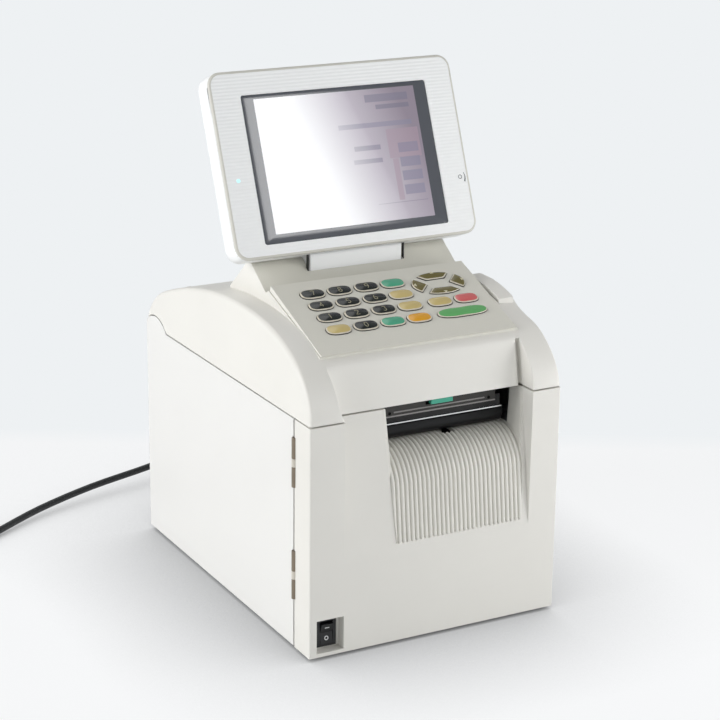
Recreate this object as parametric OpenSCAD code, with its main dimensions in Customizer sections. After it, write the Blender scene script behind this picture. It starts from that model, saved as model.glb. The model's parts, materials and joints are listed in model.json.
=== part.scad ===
// Ticket register: a desktop label and ticket issuing printer.
// Units are millimetres, +Z is up, the front faces -Y.
// The footprint centre at the floor is the origin.

/* [Body] */
// Width between the body's side faces
body_w = 200; // [190:1:215]
// Depth from the front face to the rear wall
body_d = 278; // [268:1:300]
// Height of the seam between body and top cover
seam_z = 169; // [160:1:185]
// Rise of the top cover above the seam
cover_rise = 56.5; // [54:0.5:60]
// Thickness of the moulded walls
wall = 3; // [2.6:0.1:3.4]
// Height of the rubber feet
foot_h = 3; // [2:0.5:6]

/* [Display] */
// Width of the display head
display_w = 197; // [180:1:205]
// Height of the display head
display_h = 134.9; // [128:0.1:142]
// Lean of the display away from upright, degrees
display_lean = 22; // [16:1:28]

/* [Keypad] */
// Width of a standard key
key_w = 19.2; // [17:0.25:19.5]
// Depth of a standard key
key_h = 10.7; // [9.5:0.1:11.2]
// How far a key goes down
key_travel = 1.5; // [1:0.1:1.8]

/* [Ticket path] */
// Grooves across the ribbed chute
groove_count = 29; // [21:1:31]
// Radius of the platen roller
platen_r = 6.9; // [5.5:0.1:7.2]
// Radius of the paper roll
roll_r = 48; // [30:1:50]

/* [Cord] */
// Diameter of the mains cord
cord_d = 5.4; // [5:0.1:6.5]

/* [Hidden] */
// Shift that puts the hinge barrels and the far side equally far from the middle
centre_shift = 0.8;
half_w = body_w / 2;
inner_w = half_w - wall;
seam_gap = 1.2;
body_top = seam_z - 0.4;
cover_low = body_top + seam_gap;
crown = seam_z + cover_rise;
eps = 0.01;

// Cover pivot, seen from the side: distance back and height
pivot_y = body_d - 17.3;
pivot_z = seam_z - 17;
pivot_r = 3;
hump_r = 25.8;
hump_cut_r = 26.6;
fit = 0.05;

// Side outline of the top cover
crown_y = 118;
corner_len = 38.1;
corner_y = body_d - corner_len;
corner_drop = 21.3;
rear_fall = corner_drop / pow(corner_y - crown_y, 2);
front_steps = 14;
rear_steps = 9;
corner_steps = 9;
function front_pt(a) = [crown_y * (1 - pow(cos(a), 2 / 2.35)), seam_z + cover_rise * pow(sin(a), 2 / 1.95)];
function fall(y) = cover_rise - rear_fall * pow(y - crown_y, 2);
function corner_pt(a) = [corner_y + (body_d - corner_y) * sin(a),
    seam_z + fall(corner_y + (body_d - corner_y) * sin(a)) * sqrt(1 - pow(sin(a), 4))];
front_line = [for (i = [0 : front_steps]) front_pt(90 * i / front_steps)];
rear_line = [for (i = [1 : rear_steps]) let (y = crown_y + (corner_y - crown_y) * i / rear_steps)
    [y, seam_z + fall(y)]];
corner_line = [for (i = [1 : corner_steps]) corner_pt(90 * i / corner_steps)];
crest = concat(front_line, rear_line, corner_line);
crest_n = len(crest);
function crest_at(i) = crest[max(0, min(crest_n - 1, i))];
function crest_dir(i) = crest_at(i + 1) - crest_at(i - 1);
function inset_pt(i, t) = let (d = crest_dir(i)) crest[i] + t * [d[1], -d[0]] / norm(d);
function inset_line(t) = concat([[t, cover_low - 5]], [for (i = [1 : crest_n - 2]) inset_pt(i, t)],
    [[body_d - t, cover_low - 5]]);
function lifted_line(t) = [for (i = [1 : crest_n - 2]) inset_pt(i, -t)];

// Sunken centre panel: side edges in body and cover, depth at the seam, foot and head of the slope
panel_x0 = -half_w + 27;
panel_x1 = half_w - 23.5;
panel_cover_x0 = panel_x0 - 3;
panel_deep = 14;
panel_low = seam_z - 100;
panel_top_z = seam_z + 34.6;
panel_top_y = 20.7;
groove_w = 3;

// Ticket chute and the opening it fills
slot_x0 = -half_w + 63;
slot_x1 = half_w - 24;
slot_taper = 5.2;
slot_fit = 0.1;
chute_x1 = slot_x1 - 0.4;
notch_x = (slot_x0 + slot_x1) / 2 + 7;
cheek = 2;
chute_t = 2.5;
chute_low = seam_z - 95.7;
chute_knee = [4.8, seam_z - 56.5];
chute_arc = 29;
chute_steps = 12;
chute_turn0 = 7;
chute_turn1 = 104;
function chute_pt(a, o) = [chute_knee[0] + chute_arc * cos(chute_turn0) - (chute_arc + o) * cos(a),
    chute_knee[1] - chute_arc * sin(chute_turn0) + (chute_arc + o) * sin(a)];
function chute_line(o) = concat([[-o, chute_low]],
    [for (i = [0 : chute_steps]) chute_pt(chute_turn0 + (chute_turn1 - chute_turn0) * i / chute_steps, o)]);
groove_x0 = slot_x0 + 6.6;
groove_x1 = chute_x1 - 7.1;
groove_pitch = (groove_x1 - groove_x0) / (groove_count - 1);
groove_cut = min(1.5, groove_pitch * 0.42);
groove_deep = 1.3;

// Print unit, placed from the seam downwards
platen_y = 36;
platen_z = seam_z - 23.6;
shaft_r = 3;
head_gap = 0.4;
head_low = platen_z + platen_r + head_gap;
bracket_y = 24;
bracket_t = 1.5;
plate_l = -half_w + 60;
plate_r = half_w - 24;
plate_t = 2;
plate_front = 28;
plate_mid = 76;
plate_rear = body_d - 38;
head_x0 = slot_x0 + cheek + 1.5;
head_x1 = plate_r - 16;
upright_z = seam_z - 1;
lever_ax_y = 50;
lever_ax_z = seam_z + 5;
gear_teeth = 30;
pinion_teeth = 12;
gear_module = 1.5;
gear_x = plate_r + plate_t + 2;
gear_t = 5;
gear_far = gear_module * (gear_teeth + pinion_teeth) / 2 + 0.15;
mesh_angle = -60;
motor_y = platen_y + gear_far * cos(mesh_angle);
motor_z = platen_z + gear_far * sin(mesh_angle);
motor_s = 30;
motor_len = 34;
motor_shaft = 2.5;
roll_y = 150;
roll_low = 60;
roll_z = roll_low + roll_r;
roll_x0 = plate_l + 7;
roll_x1 = plate_r - 6;
spindle_r = 12.4;
chassis_floor = 2.5;

// Keypad plane: front edge, slope and the plate
pad_y = 26;
pad_z = crown - 16.6;
pad_tilt = 21;
pad_len = 83.7;
console_half = half_w - 21;
pad_half = console_half - 1;
pad_full = 78;
pad_k = pad_half / pad_full;
cap_front = 1;
cap_rear = 4;
function pad(d, n) = [pad_y + d * cos(pad_tilt) - n * sin(pad_tilt),
    pad_z + d * sin(pad_tilt) + n * cos(pad_tilt)];
valley = pad(pad_len, 0) + [6, -6.1];
riser_slope = 34.1;
peak_y = 133;
peak = [peak_y, valley[1] + (peak_y - valley[0]) * tan(riser_slope)];
tray_half = pad_half - 7;
tray_n = -13;
board_n = -9.4;
button_r = 2.6;
flange_n = -4.6;
flange_t = 1.6;
key_rise = 0.8;
dome_rise = 0.8;
key_gap = 0.3;
guide_n = -4.3;
row_d = [67.8, 53.9, 40, 25.6];
col_x = [for (x = [-52.6, -31.2, -9.6, 11.6]) x * pad_k];

// Display axis and the head's planes, measured from that axis
axis_y = 136;
axis_z = crown + 40.5;
barrel_r = 6;
arm_half = 38;
face_y = -16.5;
seam_y = -6.5;
back_y = 9.7;
base_z = -17.2;
shell = 2.5;
window_x = display_w / 2 - 23.3;
led_x = -display_w / 2 + 10.9;
led_z = 56.7;
window_z0 = base_z + 9.4;
window_z1 = base_z + display_h - 18;
lip = 1.2;
glass = 1.6;
corner = 10;

// Release lever on the right shoulder
rel_x0 = half_w - 16;
rel_x1 = inner_w - 0.4;
rel_y0 = 57;
rel_y1 = 105;
rel_ax_y = 98;
rel_ax_z = crown - 12;
hook_y = 60;
catch_y = hook_y + 5;

// Power switch pocket
sw_x0 = -half_w + 5.8;
sw_x1 = -half_w + 26.9;
sw_z0 = 2.7;
sw_z1 = 27.3;
sw_deep = 8;
sw_x = (sw_x0 + sw_x1) / 2;
sw_z = (sw_z0 + sw_z1) / 2;
sw_w = 15;
sw_h = 21;

// Left door and its hinges
door_front = 24.8;
post_back = 23;
pin_y = 23.9;
pin_x = -half_w + 0.4;
pin_r = 0.9;
barrel = 2;
hinge_low = [36.7, 119.5];
hinge_len = 35.8;
knuckle_a = 14.5;
knuckle_b = 14.7;
knuckle_c = 20.7;
knuckle_d = 20.9;
leaf_x = -half_w + 10;
leaf_t = 0.7;

// Rear inlet and the cord
inlet_x = half_w - 50;
inlet_z = 40;
vent_x0 = -half_w + 30;
supply_y0 = body_d - 92;
supply_top = 48;
board_y0 = 100;
board_y1 = body_d - 48;
board_z0 = 30;
board_z1 = seam_z - 19;
cord_r = cord_d / 2;
cord_sides = 10;

module machine() {
    translate([centre_shift, -body_d / 2, foot_h]) children();
}

// A side outline pulled out along X from x0 to x1
module slab(x0, x1) {
    translate([x0, 0, 0]) rotate([90, 0, 90]) linear_extrude(height = x1 - x0) children();
}

module box(a, b) {
    translate(a) cube(b - a);
}

module sheet(y0, y1) {
    translate([0, y1, 0]) rotate([90, 0, 0]) linear_extrude(height = y1 - y0) children();
}

module rod_x(x0, x1, y, z, r) {
    translate([x0, y, z]) rotate([0, 90, 0]) cylinder(h = x1 - x0, r = r, $fn = 48);
}

module rod_y(x, y0, y1, z, r) {
    translate([x, y0, z]) rotate([-90, 0, 0]) cylinder(h = y1 - y0, r = r, $fn = 48);
}

module pad_frame() {
    translate([0, pad_y, pad_z]) rotate([pad_tilt, 0, 0]) children();
}

module head_frame() {
    translate([0, axis_y, axis_z]) rotate([-display_lean, 0, 0]) children();
}

// Rounded oblong standing in the X-Z plane, pulled out along Y
module oblong(x0, x1, z0, z1, y0, y1, r) {
    translate([0, y1, 0]) rotate([90, 0, 0]) linear_extrude(height = y1 - y0) union() {
        translate([x0 + r, z0]) square([x1 - x0 - 2 * r, z1 - z0]);
        translate([x0, z0 + r]) square([x1 - x0, z1 - z0 - 2 * r]);
        for (x = [x0 + r, x1 - r], z = [z0 + r, z1 - r]) translate([x, z]) circle(r = r, $fn = 48);
    }
}

module crest_outline() {
    polygon(concat([[0, cover_low - 1]], crest, [[body_d, cover_low - 1]]));
}

module cover_outside(x0, x1) {
    slab(x0, x1) crest_outline();
}

module panel_front_outline() {
    polygon([[-5, cover_low - 3], [panel_deep, cover_low - 3], [panel_deep, seam_z],
        [panel_top_y, panel_top_z], [-5, panel_top_z]]);
}

module behind_panel_outline() {
    polygon([[panel_deep + wall, cover_low - 9], [panel_deep + wall, seam_z],
        [panel_top_y + wall, panel_top_z], [panel_top_y + wall, crown + 9], [body_d, crown + 9],
            [body_d, cover_low - 9]]);
}

module top_cover() {
    color([0.91, 0.9, 0.87]) machine() {
        difference() {
            cover_outside(-half_w, half_w);
            box([-half_w - 1, -1, cover_low - 9], [half_w + 1, body_d + 1, cover_low]);
            slab(-inner_w, panel_cover_x0 - wall) polygon(inset_line(wall));
            slab(panel_x1 + wall, inner_w) polygon(inset_line(wall));
            slab(panel_cover_x0 - wall - eps, panel_x1 + wall + eps) intersection() {
                polygon(inset_line(wall));
                behind_panel_outline();
            }
            slab(panel_cover_x0, panel_x1) panel_front_outline();
            rod_x(-half_w - 1, half_w + 1, pivot_y, pivot_z, hump_cut_r);
            pad_frame() box([-tray_half - 0.3, 5.6, -30], [tray_half + 0.3, pad_len - 5, 12]);
            slab(-pad_half - 0.3, pad_half + 0.3)
                polygon([pad_low(-1, 0.3), pad_low(pad_len + 1, 0.3), pad(pad_len + 1, 20), pad(-1, 20)]);
            box([rel_x0 - 0.4, rel_y0 - 0.4, crown - 30], [inner_w, rel_y1 + 0.4, crown + 9]);
            rod_x(inner_w - 1, inner_w + 1.5, rel_ax_y, rel_ax_z, 1.5 + fit);
            box([-30, 124, crown - 20], [30, 138, crown + 5]);
        }
        difference() {
            intersection() {
                cover_outside(rel_x0 - 4, rel_x0 - 0.4);
                box([rel_x0 - 4, rel_y0 - 2, rel_ax_z - 6], [rel_x0 - 0.4, rel_y1 + 2, crown]);
            }
            rod_x(rel_x0 - 5, rel_x0, rel_ax_y, rel_ax_z, 1.5 + fit);
        }
        for (s = [-1, 1]) difference() {
            hinge_lug(s);
            rod_x(-half_w, half_w, pivot_y, pivot_z, pivot_r + fit);
        }
    }
}

// Lugs that carry the cover on the hinge pins, leaning forward
lug_in = half_w - 20;
lug_t = 4;
lug_lean = 118;
lug_half = 4;
function lug_pt(d, w) = [pivot_y + d * cos(lug_lean) + w * sin(lug_lean),
    pivot_z + d * sin(lug_lean) - w * cos(lug_lean)];
module hinge_lug(s) {
    x0 = s > 0 ? lug_in : -lug_in - lug_t;
    intersection() {
        cover_outside_low(x0, x0 + lug_t);
        union() {
            rod_x(x0, x0 + lug_t, pivot_y, pivot_z, 8);
            slab(x0, x0 + lug_t) polygon([lug_pt(0, -lug_half), lug_pt(0, lug_half),
                lug_pt(90, lug_half), lug_pt(90, -lug_half)]);
        }
    }
}

module cover_outside_low(x0, x1) {
    slab(x0, x1) polygon(concat([[wall, pivot_z - 10]],
        [for (i = [1 : crest_n - 2]) inset_pt(i, wall - 0.4)],
        [[body_d - wall, pivot_z - 10]]));
}

module release_lever() {
    color([0.89, 0.88, 0.85]) machine() {
        difference() {
            intersection() {
                slab(rel_x0, rel_x1) polygon(concat([[0, crown - 40]], lifted_line(2.2),
                    [[body_d, crown - 40]]));
                slab(rel_x0, rel_x1) polygon([[rel_y0, crown - 14], [rel_y0 + 8, crown - 16],
                    [rel_ax_y, crown - 16], [rel_y1 - 0.2, crown - 9], [rel_y1 - 1.9, crown + 9],
                    [rel_y0, crown + 9]]);
            }
            slab(rel_x0 + 2, rel_x1 - 2) polygon([[rel_y0 + 2, crown - 30], [rel_y0 + 2, crown - 9.5],
                [rel_y0 + 18, crown - 5.5], [rel_ax_y - 4, crown - 3.5], [rel_ax_y - 4, crown - 30]]);
        }
        rod_x(rel_x0 - 3.6, inner_w + 1.3, rel_ax_y, rel_ax_z, 1.5);
        box([rel_x0 + 2, hook_y, seam_z - 12], [rel_x0 + 8, hook_y + 3, crown - 5]);
        box([rel_x0 + 2, hook_y + 2.9, seam_z - 12], [rel_x0 + 8, hook_y + 4.4, seam_z - 9]);
    }
}

module base_pan() {
    color([0.6, 0.61, 0.62]) machine() difference() {
        union() {
            box([-inner_w, wall, 0], [inner_w, body_d - wall, chassis_floor]);
            box([inner_w - 1.5, wall, 0], [inner_w, body_d - wall, 14]);
            box([-inner_w + 0.6, post_back + 1, 0], [-inner_w + 2.1, body_d - wall, 14]);
            box([-inner_w, wall, 0], [inner_w, wall + 1.5, 2.6]);
        }
        box([-half_w, post_back, -1], [-inner_w + 0.6, body_d, 20]);
        box([sw_x0 - wall - 0.3, -1, -1], [sw_x1 + wall + 0.3, sw_deep + 2.3, chassis_floor + 1]);
        for (i = [0 : 6]) box([-60, 180 + i * 9, -1], [10, 183 + i * 9, 5]);
    }
}

foot_x = half_w - 18;
module rubber_feet() {
    color([0.12, 0.12, 0.12]) machine() for (x = [-foot_x, foot_x], y = [22, body_d - 24])
        translate([x, y, -foot_h]) cylinder(h = foot_h, r = 8, $fn = 48);
}

module panel_low_outline(o) {
    polygon([[o, panel_low], [panel_deep + o, body_top], [panel_deep + o + 60, body_top],
        [o + 60, panel_low - 60], [o, panel_low - 60]]);
}

module front_cover() {
    color([0.93, 0.92, 0.89]) machine() {
        difference() {
            union() {
                box([-half_w, 0, 0], [half_w, wall, body_top]);
                box([-half_w, 0, 0], [-inner_w, post_back, body_top]);
                box([inner_w, 0, 0], [half_w, post_back, body_top]);
                slab(panel_x0 - wall, panel_x1 + wall) polygon([[0, panel_low - 4], [0, body_top],
                    [panel_deep + wall, body_top], [wall, panel_low - 4]]);
                box([sw_x0 - wall, 0, 0], [sw_x1 + wall, sw_deep + 2, sw_z1 + wall]);
                box([-inner_w - eps, post_back - 3, sw_z1 + wall], [leaf_x, post_back, body_top - 4]);
            }
            slab(panel_x0, panel_x1) polygon([[-1, panel_low], [0, panel_low], [panel_deep, body_top],
                [panel_deep, body_top + 1], [-1, body_top + 1]]);
            sheet(-1, panel_deep + wall + 1) slot_outline(0, 0);
            box([sw_x0, -1, sw_z0], [sw_x1, sw_deep, sw_z1]);
            box([sw_x - 6.5, 0, sw_z - 9.5], [sw_x + 6.5, sw_deep + 5, sw_z + 9.5]);
            barrel_room();
        }
    }
}

// Room for the barrel of a hinge
module barrel_room() {
    for (z = hinge_low) translate([pin_x, pin_y, z - 0.3])
        cylinder(h = hinge_len + 0.6, r = barrel + 0.3, $fn = 32);
}

module issue_chute() {
    color([0.92, 0.91, 0.88]) machine() {
        difference() {
            intersection() {
                slab(slot_x0, slot_x1) polygon(concat(chute_line(0), chute_back()));
                sheet(-1, body_d) slot_outline(slot_fit, 1);
            }
            for (i = [0 : groove_count - 1])
                translate([groove_x0 + i * groove_pitch, 0, 0]) slab(-groove_cut / 2, groove_cut / 2)
                    polygon(concat([[-3, chute_low + 1], [groove_deep, chute_low + 1]], groove_floor(),
                        [[30, seam_z - 20], [-3, seam_z - 20]]));
            box([notch_x - 4, 33.5, chute_knee[1] + 18], [notch_x + 4, 45, seam_z]);
        }
        cheek_wall(slot_x0, notch_x, 27);
        cheek_wall(notch_x, slot_x1, platen_y - shaft_r - 0.6);
    }
}

// Wall beside the ticket, between x0 and x1: it leans with the opening's side and ends at y1
module cheek_wall(x0, x1, y1) {
    intersection() {
        slab(x0, x1) polygon([[panel_deep * 0.45 + 2, chute_knee[1] + 8], [panel_deep, body_top],
            [y1, body_top], [y1, chute_knee[1] + 14 + (y1 - 27) * 0.4], [14, chute_knee[1] + 4]]);
        difference() {
            sheet(0, body_d) slot_outline(slot_fit, 1);
            sheet(-1, body_d + 1) slot_outline(slot_fit + cheek, 2);
        }
    }
}

// The opening seen from the front: it narrows by slot_taper on each side from the seam to the chute's foot
module slot_outline(o, down) {
    polygon([[slot_x0 + o, body_top + 1], [slot_x0 + o, body_top], [slot_x0 + slot_taper + o, chute_low],
        [slot_x0 + slot_taper + o, chute_low - down], [slot_x1 - slot_taper - o, chute_low - down],
        [slot_x1 - slot_taper - o, chute_low], [slot_x1 - o, body_top], [slot_x1 - o, body_top + 1]]);
}

function groove_floor() = [for (i = [0 : chute_steps])
    chute_pt(chute_turn0 + (chute_turn1 - chute_turn0) * i / chute_steps, -groove_deep)];
function chute_back() = concat([for (i = [chute_steps : -1 : 0])
    chute_pt(chute_turn0 + (chute_turn1 - chute_turn0) * i / chute_steps, -chute_t)],
    [[chute_t, chute_low]]);

vent_count = 9;
vent_y0 = 120;
vent_z0 = 96;
vent_z1 = 126;
module shell_panel() {
    color([0.92, 0.91, 0.88]) machine() difference() {
        union() {
            box([inner_w, post_back, 0], [half_w, body_d, body_top]);
            box([-inner_w + 0.4, body_d - wall, 0], [half_w, body_d, body_top + 0.3]);
            intersection() {
                rod_x(inner_w, half_w, pivot_y, pivot_z, hump_r);
                box([inner_w, pivot_y - 30, seam_z - 20], [half_w, body_d, seam_z + 20]);
            }
            for (s = [-1, 1]) pin_ear(s);
            for (x = [[-inner_w + 0.4, -lug_in - lug_t - 0.6], [-lug_in + 5.5, lug_in - 5.5],
                [lug_in + lug_t + 0.6, half_w]])
                rear_rail(x[0], x[1]);
        }
        for (i = [0 : vent_count - 1]) box([vent_x0 + i * 9, body_d - wall - 1, vent_z0],
            [vent_x0 + 4 + i * 9, body_d + 1, vent_z1]);
        for (i = [0 : vent_count - 1]) box([inner_w - 1, vent_y0 + i * 9, vent_z0],
            [half_w + 1, vent_y0 + 4 + i * 9, vent_z1]);
        box([inlet_x - 13.7, body_d - wall - 1, inlet_z - 10.2],
            [inlet_x + 13.7, body_d + 1, inlet_z + 10.2]);
        box([inlet_x - 46, body_d - wall - 1, inlet_z - 10], [inlet_x - 26, body_d + 1, inlet_z + 4]);
    }
}

// Rounded top edge of the rear wall, concentric with the cover's hinge
module rear_rail(x0, x1) {
    difference() {
        intersection() {
            rod_x(x0, x1, pivot_y, pivot_z, hump_r);
            box([x0 - 1, pivot_y + 11, pivot_z + 10], [x1 + 1, body_d, pivot_z + 30]);
        }
        rod_x(x0 - 1, x1 + 1, pivot_y, pivot_z, hump_r - 3);
    }
}

// Ear and pin that carry one side of the cover's hinge
module pin_ear(s) {
    x0 = s > 0 ? lug_in - 5.5 : -lug_in + 0.5;
    box([x0, pivot_y - 8, pivot_z - 8], [x0 + 5, body_d - wall + eps, pivot_z + 8]);
    rod_x(s > 0 ? lug_in - 3 : -lug_in - lug_t - 1, s > 0 ? lug_in + lug_t + 1 : -lug_in + 3, pivot_y,
        pivot_z, pivot_r);
}

module side_door() {
    color([0.94, 0.93, 0.91]) machine() difference() {
        union() {
            box([-half_w, door_front, 0.6], [-inner_w, body_d - 0.3, body_top]);
            intersection() {
                rod_x(-half_w, -inner_w, pivot_y, pivot_z, hump_r);
                box([-half_w, pivot_y - 30, seam_z - 20], [-inner_w, body_d - 0.3, seam_z + 20]);
            }
            box([-inner_w - eps, door_front, 20], [leaf_x, door_front + 3, body_top - 8]);
            box([-inner_w - eps, body_d - 12, 20], [-inner_w + 4, body_d - 10, body_top - 8]);
            for (z = [20, 92, body_top - 10]) box([-inner_w - eps, door_front + 2, z],
                [-inner_w + 4, body_d - 10, z + 2]);
        }
        barrel_room();
    }
}

// One leaf: knuckles from the heights in span, plate from the pin's side to leaf_x
module leaf(z, spans, y0) {
    box([pin_x + barrel + 0.3, y0, z], [leaf_x, y0 + leaf_t, z + hinge_len]);
    for (k = spans) {
        box([pin_x, y0, z + k[0]], [pin_x + barrel + 0.31, y0 + leaf_t, z + k[1]]);
        translate([pin_x, pin_y, z + k[0]]) cylinder(h = k[1] - k[0], r = barrel, $fn = 32);
    }
}

module post_leaves() {
    color([0.62, 0.58, 0.5]) machine() for (z = hinge_low) {
        leaf(z, [[0, knuckle_a], [knuckle_d, hinge_len]], post_back);
        translate([pin_x, pin_y, z]) cylinder(h = hinge_len, r = pin_r, $fn = 32);
    }
}

module door_leaves() {
    color([0.62, 0.58, 0.5]) machine() for (z = hinge_low) difference() {
        leaf(z, [[knuckle_b, knuckle_c]], door_front - leaf_t);
        translate([pin_x, pin_y, z - 1]) cylinder(h = hinge_len + 2, r = pin_r + fit, $fn = 32);
    }
}

module chassis() {
    color([0.72, 0.73, 0.74]) machine() {
        difference() {
            union() {
                box([plate_r, plate_front + 2, chassis_floor], [plate_r + plate_t, plate_rear, upright_z]);
                box([plate_l - plate_t, plate_front, chassis_floor], [plate_l, plate_mid, upright_z]);
                box([plate_l - plate_t, plate_front + 2, chassis_floor],
                    [plate_r + plate_t, plate_mid, chassis_floor + 2]);
                box([plate_l - plate_t, plate_mid, chassis_floor],
                    [plate_r + plate_t, plate_rear, chassis_floor + 2]);
                box([plate_r, catch_y - 3, seam_z - 30], [rel_x0 + 8, catch_y + 6, seam_z - 28]);
                box([rel_x0 + 2, catch_y, seam_z - 30], [rel_x0 + 8, catch_y + 2, seam_z - 5]);
            }
            rod_x(plate_l - 3, plate_r + 9, platen_y, platen_z, shaft_r + fit);
            rod_x(plate_r - 1, plate_r + plate_t + 1, motor_y, motor_z, 6);
            box([plate_l + 10, plate_rear - 50, 0], [plate_r - 16, plate_rear - 8, 9]);
        }
        difference() {
            union() {
                rod_x(roll_x0 - 7, plate_r + eps, roll_y, roll_z, spindle_r);
                rod_x(roll_x1 + 1, plate_r + eps, roll_y, roll_z, 26);
            }
            rod_x(roll_x0 - 8, plate_r - 4, roll_y, roll_z, spindle_r - 2);
        }
    }
}

module paper_roll() {
    color([0.96, 0.96, 0.95]) machine() difference() {
        rod_x(roll_x0, roll_x1, roll_y, roll_z, roll_r);
        rod_x(roll_x0 - 1, roll_x1 + 1, roll_y, roll_z, spindle_r + fit);
    }
}

module platen_roller() {
    color([0.13, 0.13, 0.14]) machine() {
        rod_x(head_x0, roll_x1, platen_y, platen_z, platen_r);
        rod_x(plate_l - 4, gear_x + gear_t + 2, platen_y, platen_z, shaft_r);
    }
}

// Involute flank: point at roll angle t on a base circle of radius b
function involute(b, t) = [b * (cos(t) + t * PI / 180 * sin(t)), b * (sin(t) - t * PI / 180 * cos(t))];
function spin(p, a) = [p[0] * cos(a) - p[1] * sin(a), p[0] * sin(a) + p[1] * cos(a)];
function roll_at(b, r) = sqrt(max(0, r * r / (b * b) - 1)) * 180 / PI;
function lead(b, r) = let (t = roll_at(b, r)) t - atan(t * PI / 180);
module gear_outline(n, phase) {
    rp = gear_module * n / 2;
    rb = rp * cos(20);
    ro = rp + gear_module * 0.9;
    rr = rp - gear_module * 1.2;
    half = 90 / n - 0.9 * 180 / PI * 0.12 / rp + lead(rb, rp);
    radii = [max(rb, rr + 0.2), rp - 0.2, rp + 0.6, ro];
    side = [for (r = radii) spin(involute(rb, roll_at(rb, r)), -half)];
    tooth = concat([[rr * cos(-half), rr * sin(-half)]], side,
        [for (i = [3 : -1 : 0]) [side[i][0], -side[i][1]]],
        [[rr * cos(half), rr * sin(half)]]);
    polygon([for (k = [0 : n - 1]) for (p = tooth) spin(p, phase + 360 * k / n)]);
}

module platen_gear() {
    color([0.9, 0.9, 0.86]) machine() difference() {
        translate([gear_x, platen_y, platen_z]) rotate([90, 0, 90]) linear_extrude(height = gear_t)
            gear_outline(gear_teeth, mesh_angle);
        rod_x(gear_x - 1, gear_x + gear_t + 1, platen_y, platen_z, shaft_r);
    }
}

module motor_pinion() {
    color([0.78, 0.66, 0.38]) machine() {
        difference() {
            translate([gear_x, motor_y, motor_z]) rotate([90, 0, 90]) linear_extrude(height = gear_t)
                gear_outline(pinion_teeth, mesh_angle + 180 / pinion_teeth + 180);
            rod_x(gear_x - 1, gear_x + gear_t + 1, motor_y, motor_z, motor_shaft);
        }
        rod_x(plate_r - 8, gear_x + gear_t + 1, motor_y, motor_z, motor_shaft);
    }
}

module feed_motor() {
    color([0.2, 0.2, 0.21]) machine() difference() {
        union() {
            box([plate_r - motor_len, motor_y - motor_s / 2, motor_z - motor_s / 2],
                [plate_r, motor_y + motor_s / 2, motor_z + motor_s / 2]);
            rod_x(plate_r - eps, plate_r + plate_t, motor_y, motor_z, 6);
        }
        rod_x(plate_r - 10, plate_r + 5, motor_y, motor_z, motor_shaft + fit);
    }
}

module print_head() {
    color([0.27, 0.26, 0.25]) machine() {
        difference() {
            union() {
                box([head_x0, bracket_y, head_low + 5.1], [head_x1, bracket_y + bracket_t, seam_z + 3]);
                box([head_x0, bracket_y, seam_z + 1.5], [head_x1, 62, seam_z + 3]);
            }
            for (x = [head_x0 + 7.6, head_x1 - 5.4])
                rod_y(x, bracket_y - 1, bracket_y + 5, head_low + 8.1, 1.3);
            box([3, bracket_y - 1, head_low + 10.2], [25, 58, seam_z + 4]);
        }
        box([head_x0, 28, head_low], [head_x1 - 2, 54, head_low + 6]);
        for (x = [head_x0, head_x1 - 1.5]) box([x, 40, head_low + 5], [x + 1.5, 62, seam_z + 3]);
        box([plate_l, 48, head_low + 7], [head_x0 + eps, 60, seam_z + 2]);
        rod_x(head_x1 - eps, plate_r, 54, head_low + 11, 3.4);
        for (x = [1.5, 25]) difference() {
            box([x, 44, seam_z + 1.5], [x + 1.5, 56, lever_ax_z + 4]);
            rod_x(x - 1, x + 3, lever_ax_y, lever_ax_z, 1.6 + fit);
        }
    }
}

module head_lever() {
    color([0.3, 0.72, 0.6]) machine() {
        slab(5.2, 22.8) polygon([[20, seam_z - 5], [23.4, seam_z - 5], [24.4, seam_z - 1],
            [44, seam_z + 2.5],
            [50, seam_z + 1.2], [50, lever_ax_z + 4], [40, lever_ax_z + 3.6], [20.2, seam_z + 3]]);
        rod_x(1.2, 26.8, lever_ax_y, lever_ax_z, 1.6);
        rod_x(5.2, 22.8, lever_ax_y, lever_ax_z, 4);
    }
}

module tear_bar() {
    color([0.85, 0.86, 0.87]) machine() {
        box([head_x0, bracket_y + bracket_t, head_low + 0.2],
            [head_x1 + 5, bracket_y + bracket_t + 0.8, head_low + 9]);
        box([head_x0, bracket_y - 1, head_low + 0.2],
            [head_x1 + 5, bracket_y + bracket_t + 0.8, head_low + 1.1]);
    }
}

// Side outline of the console, foot buried and trimmed by the cover below
module console_outline(o) {
    polygon([[pad_y + 0.4 + o, crown - 40], pad_low(0.4 + o, o), pad_low(pad_len - 0.01, o),
        valley + [o / 2, -o], peak + [o / 4, -o * 1.2],
        peak + [7 - o / 2, -o * 1.2], [168.8 - o, crown - 2 - o], [168.8 - o, crown - 40]]);
}

function pad_low(d, o) = pad(d, -cap_front - (cap_rear - cap_front) * d / pad_len - o);

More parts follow.
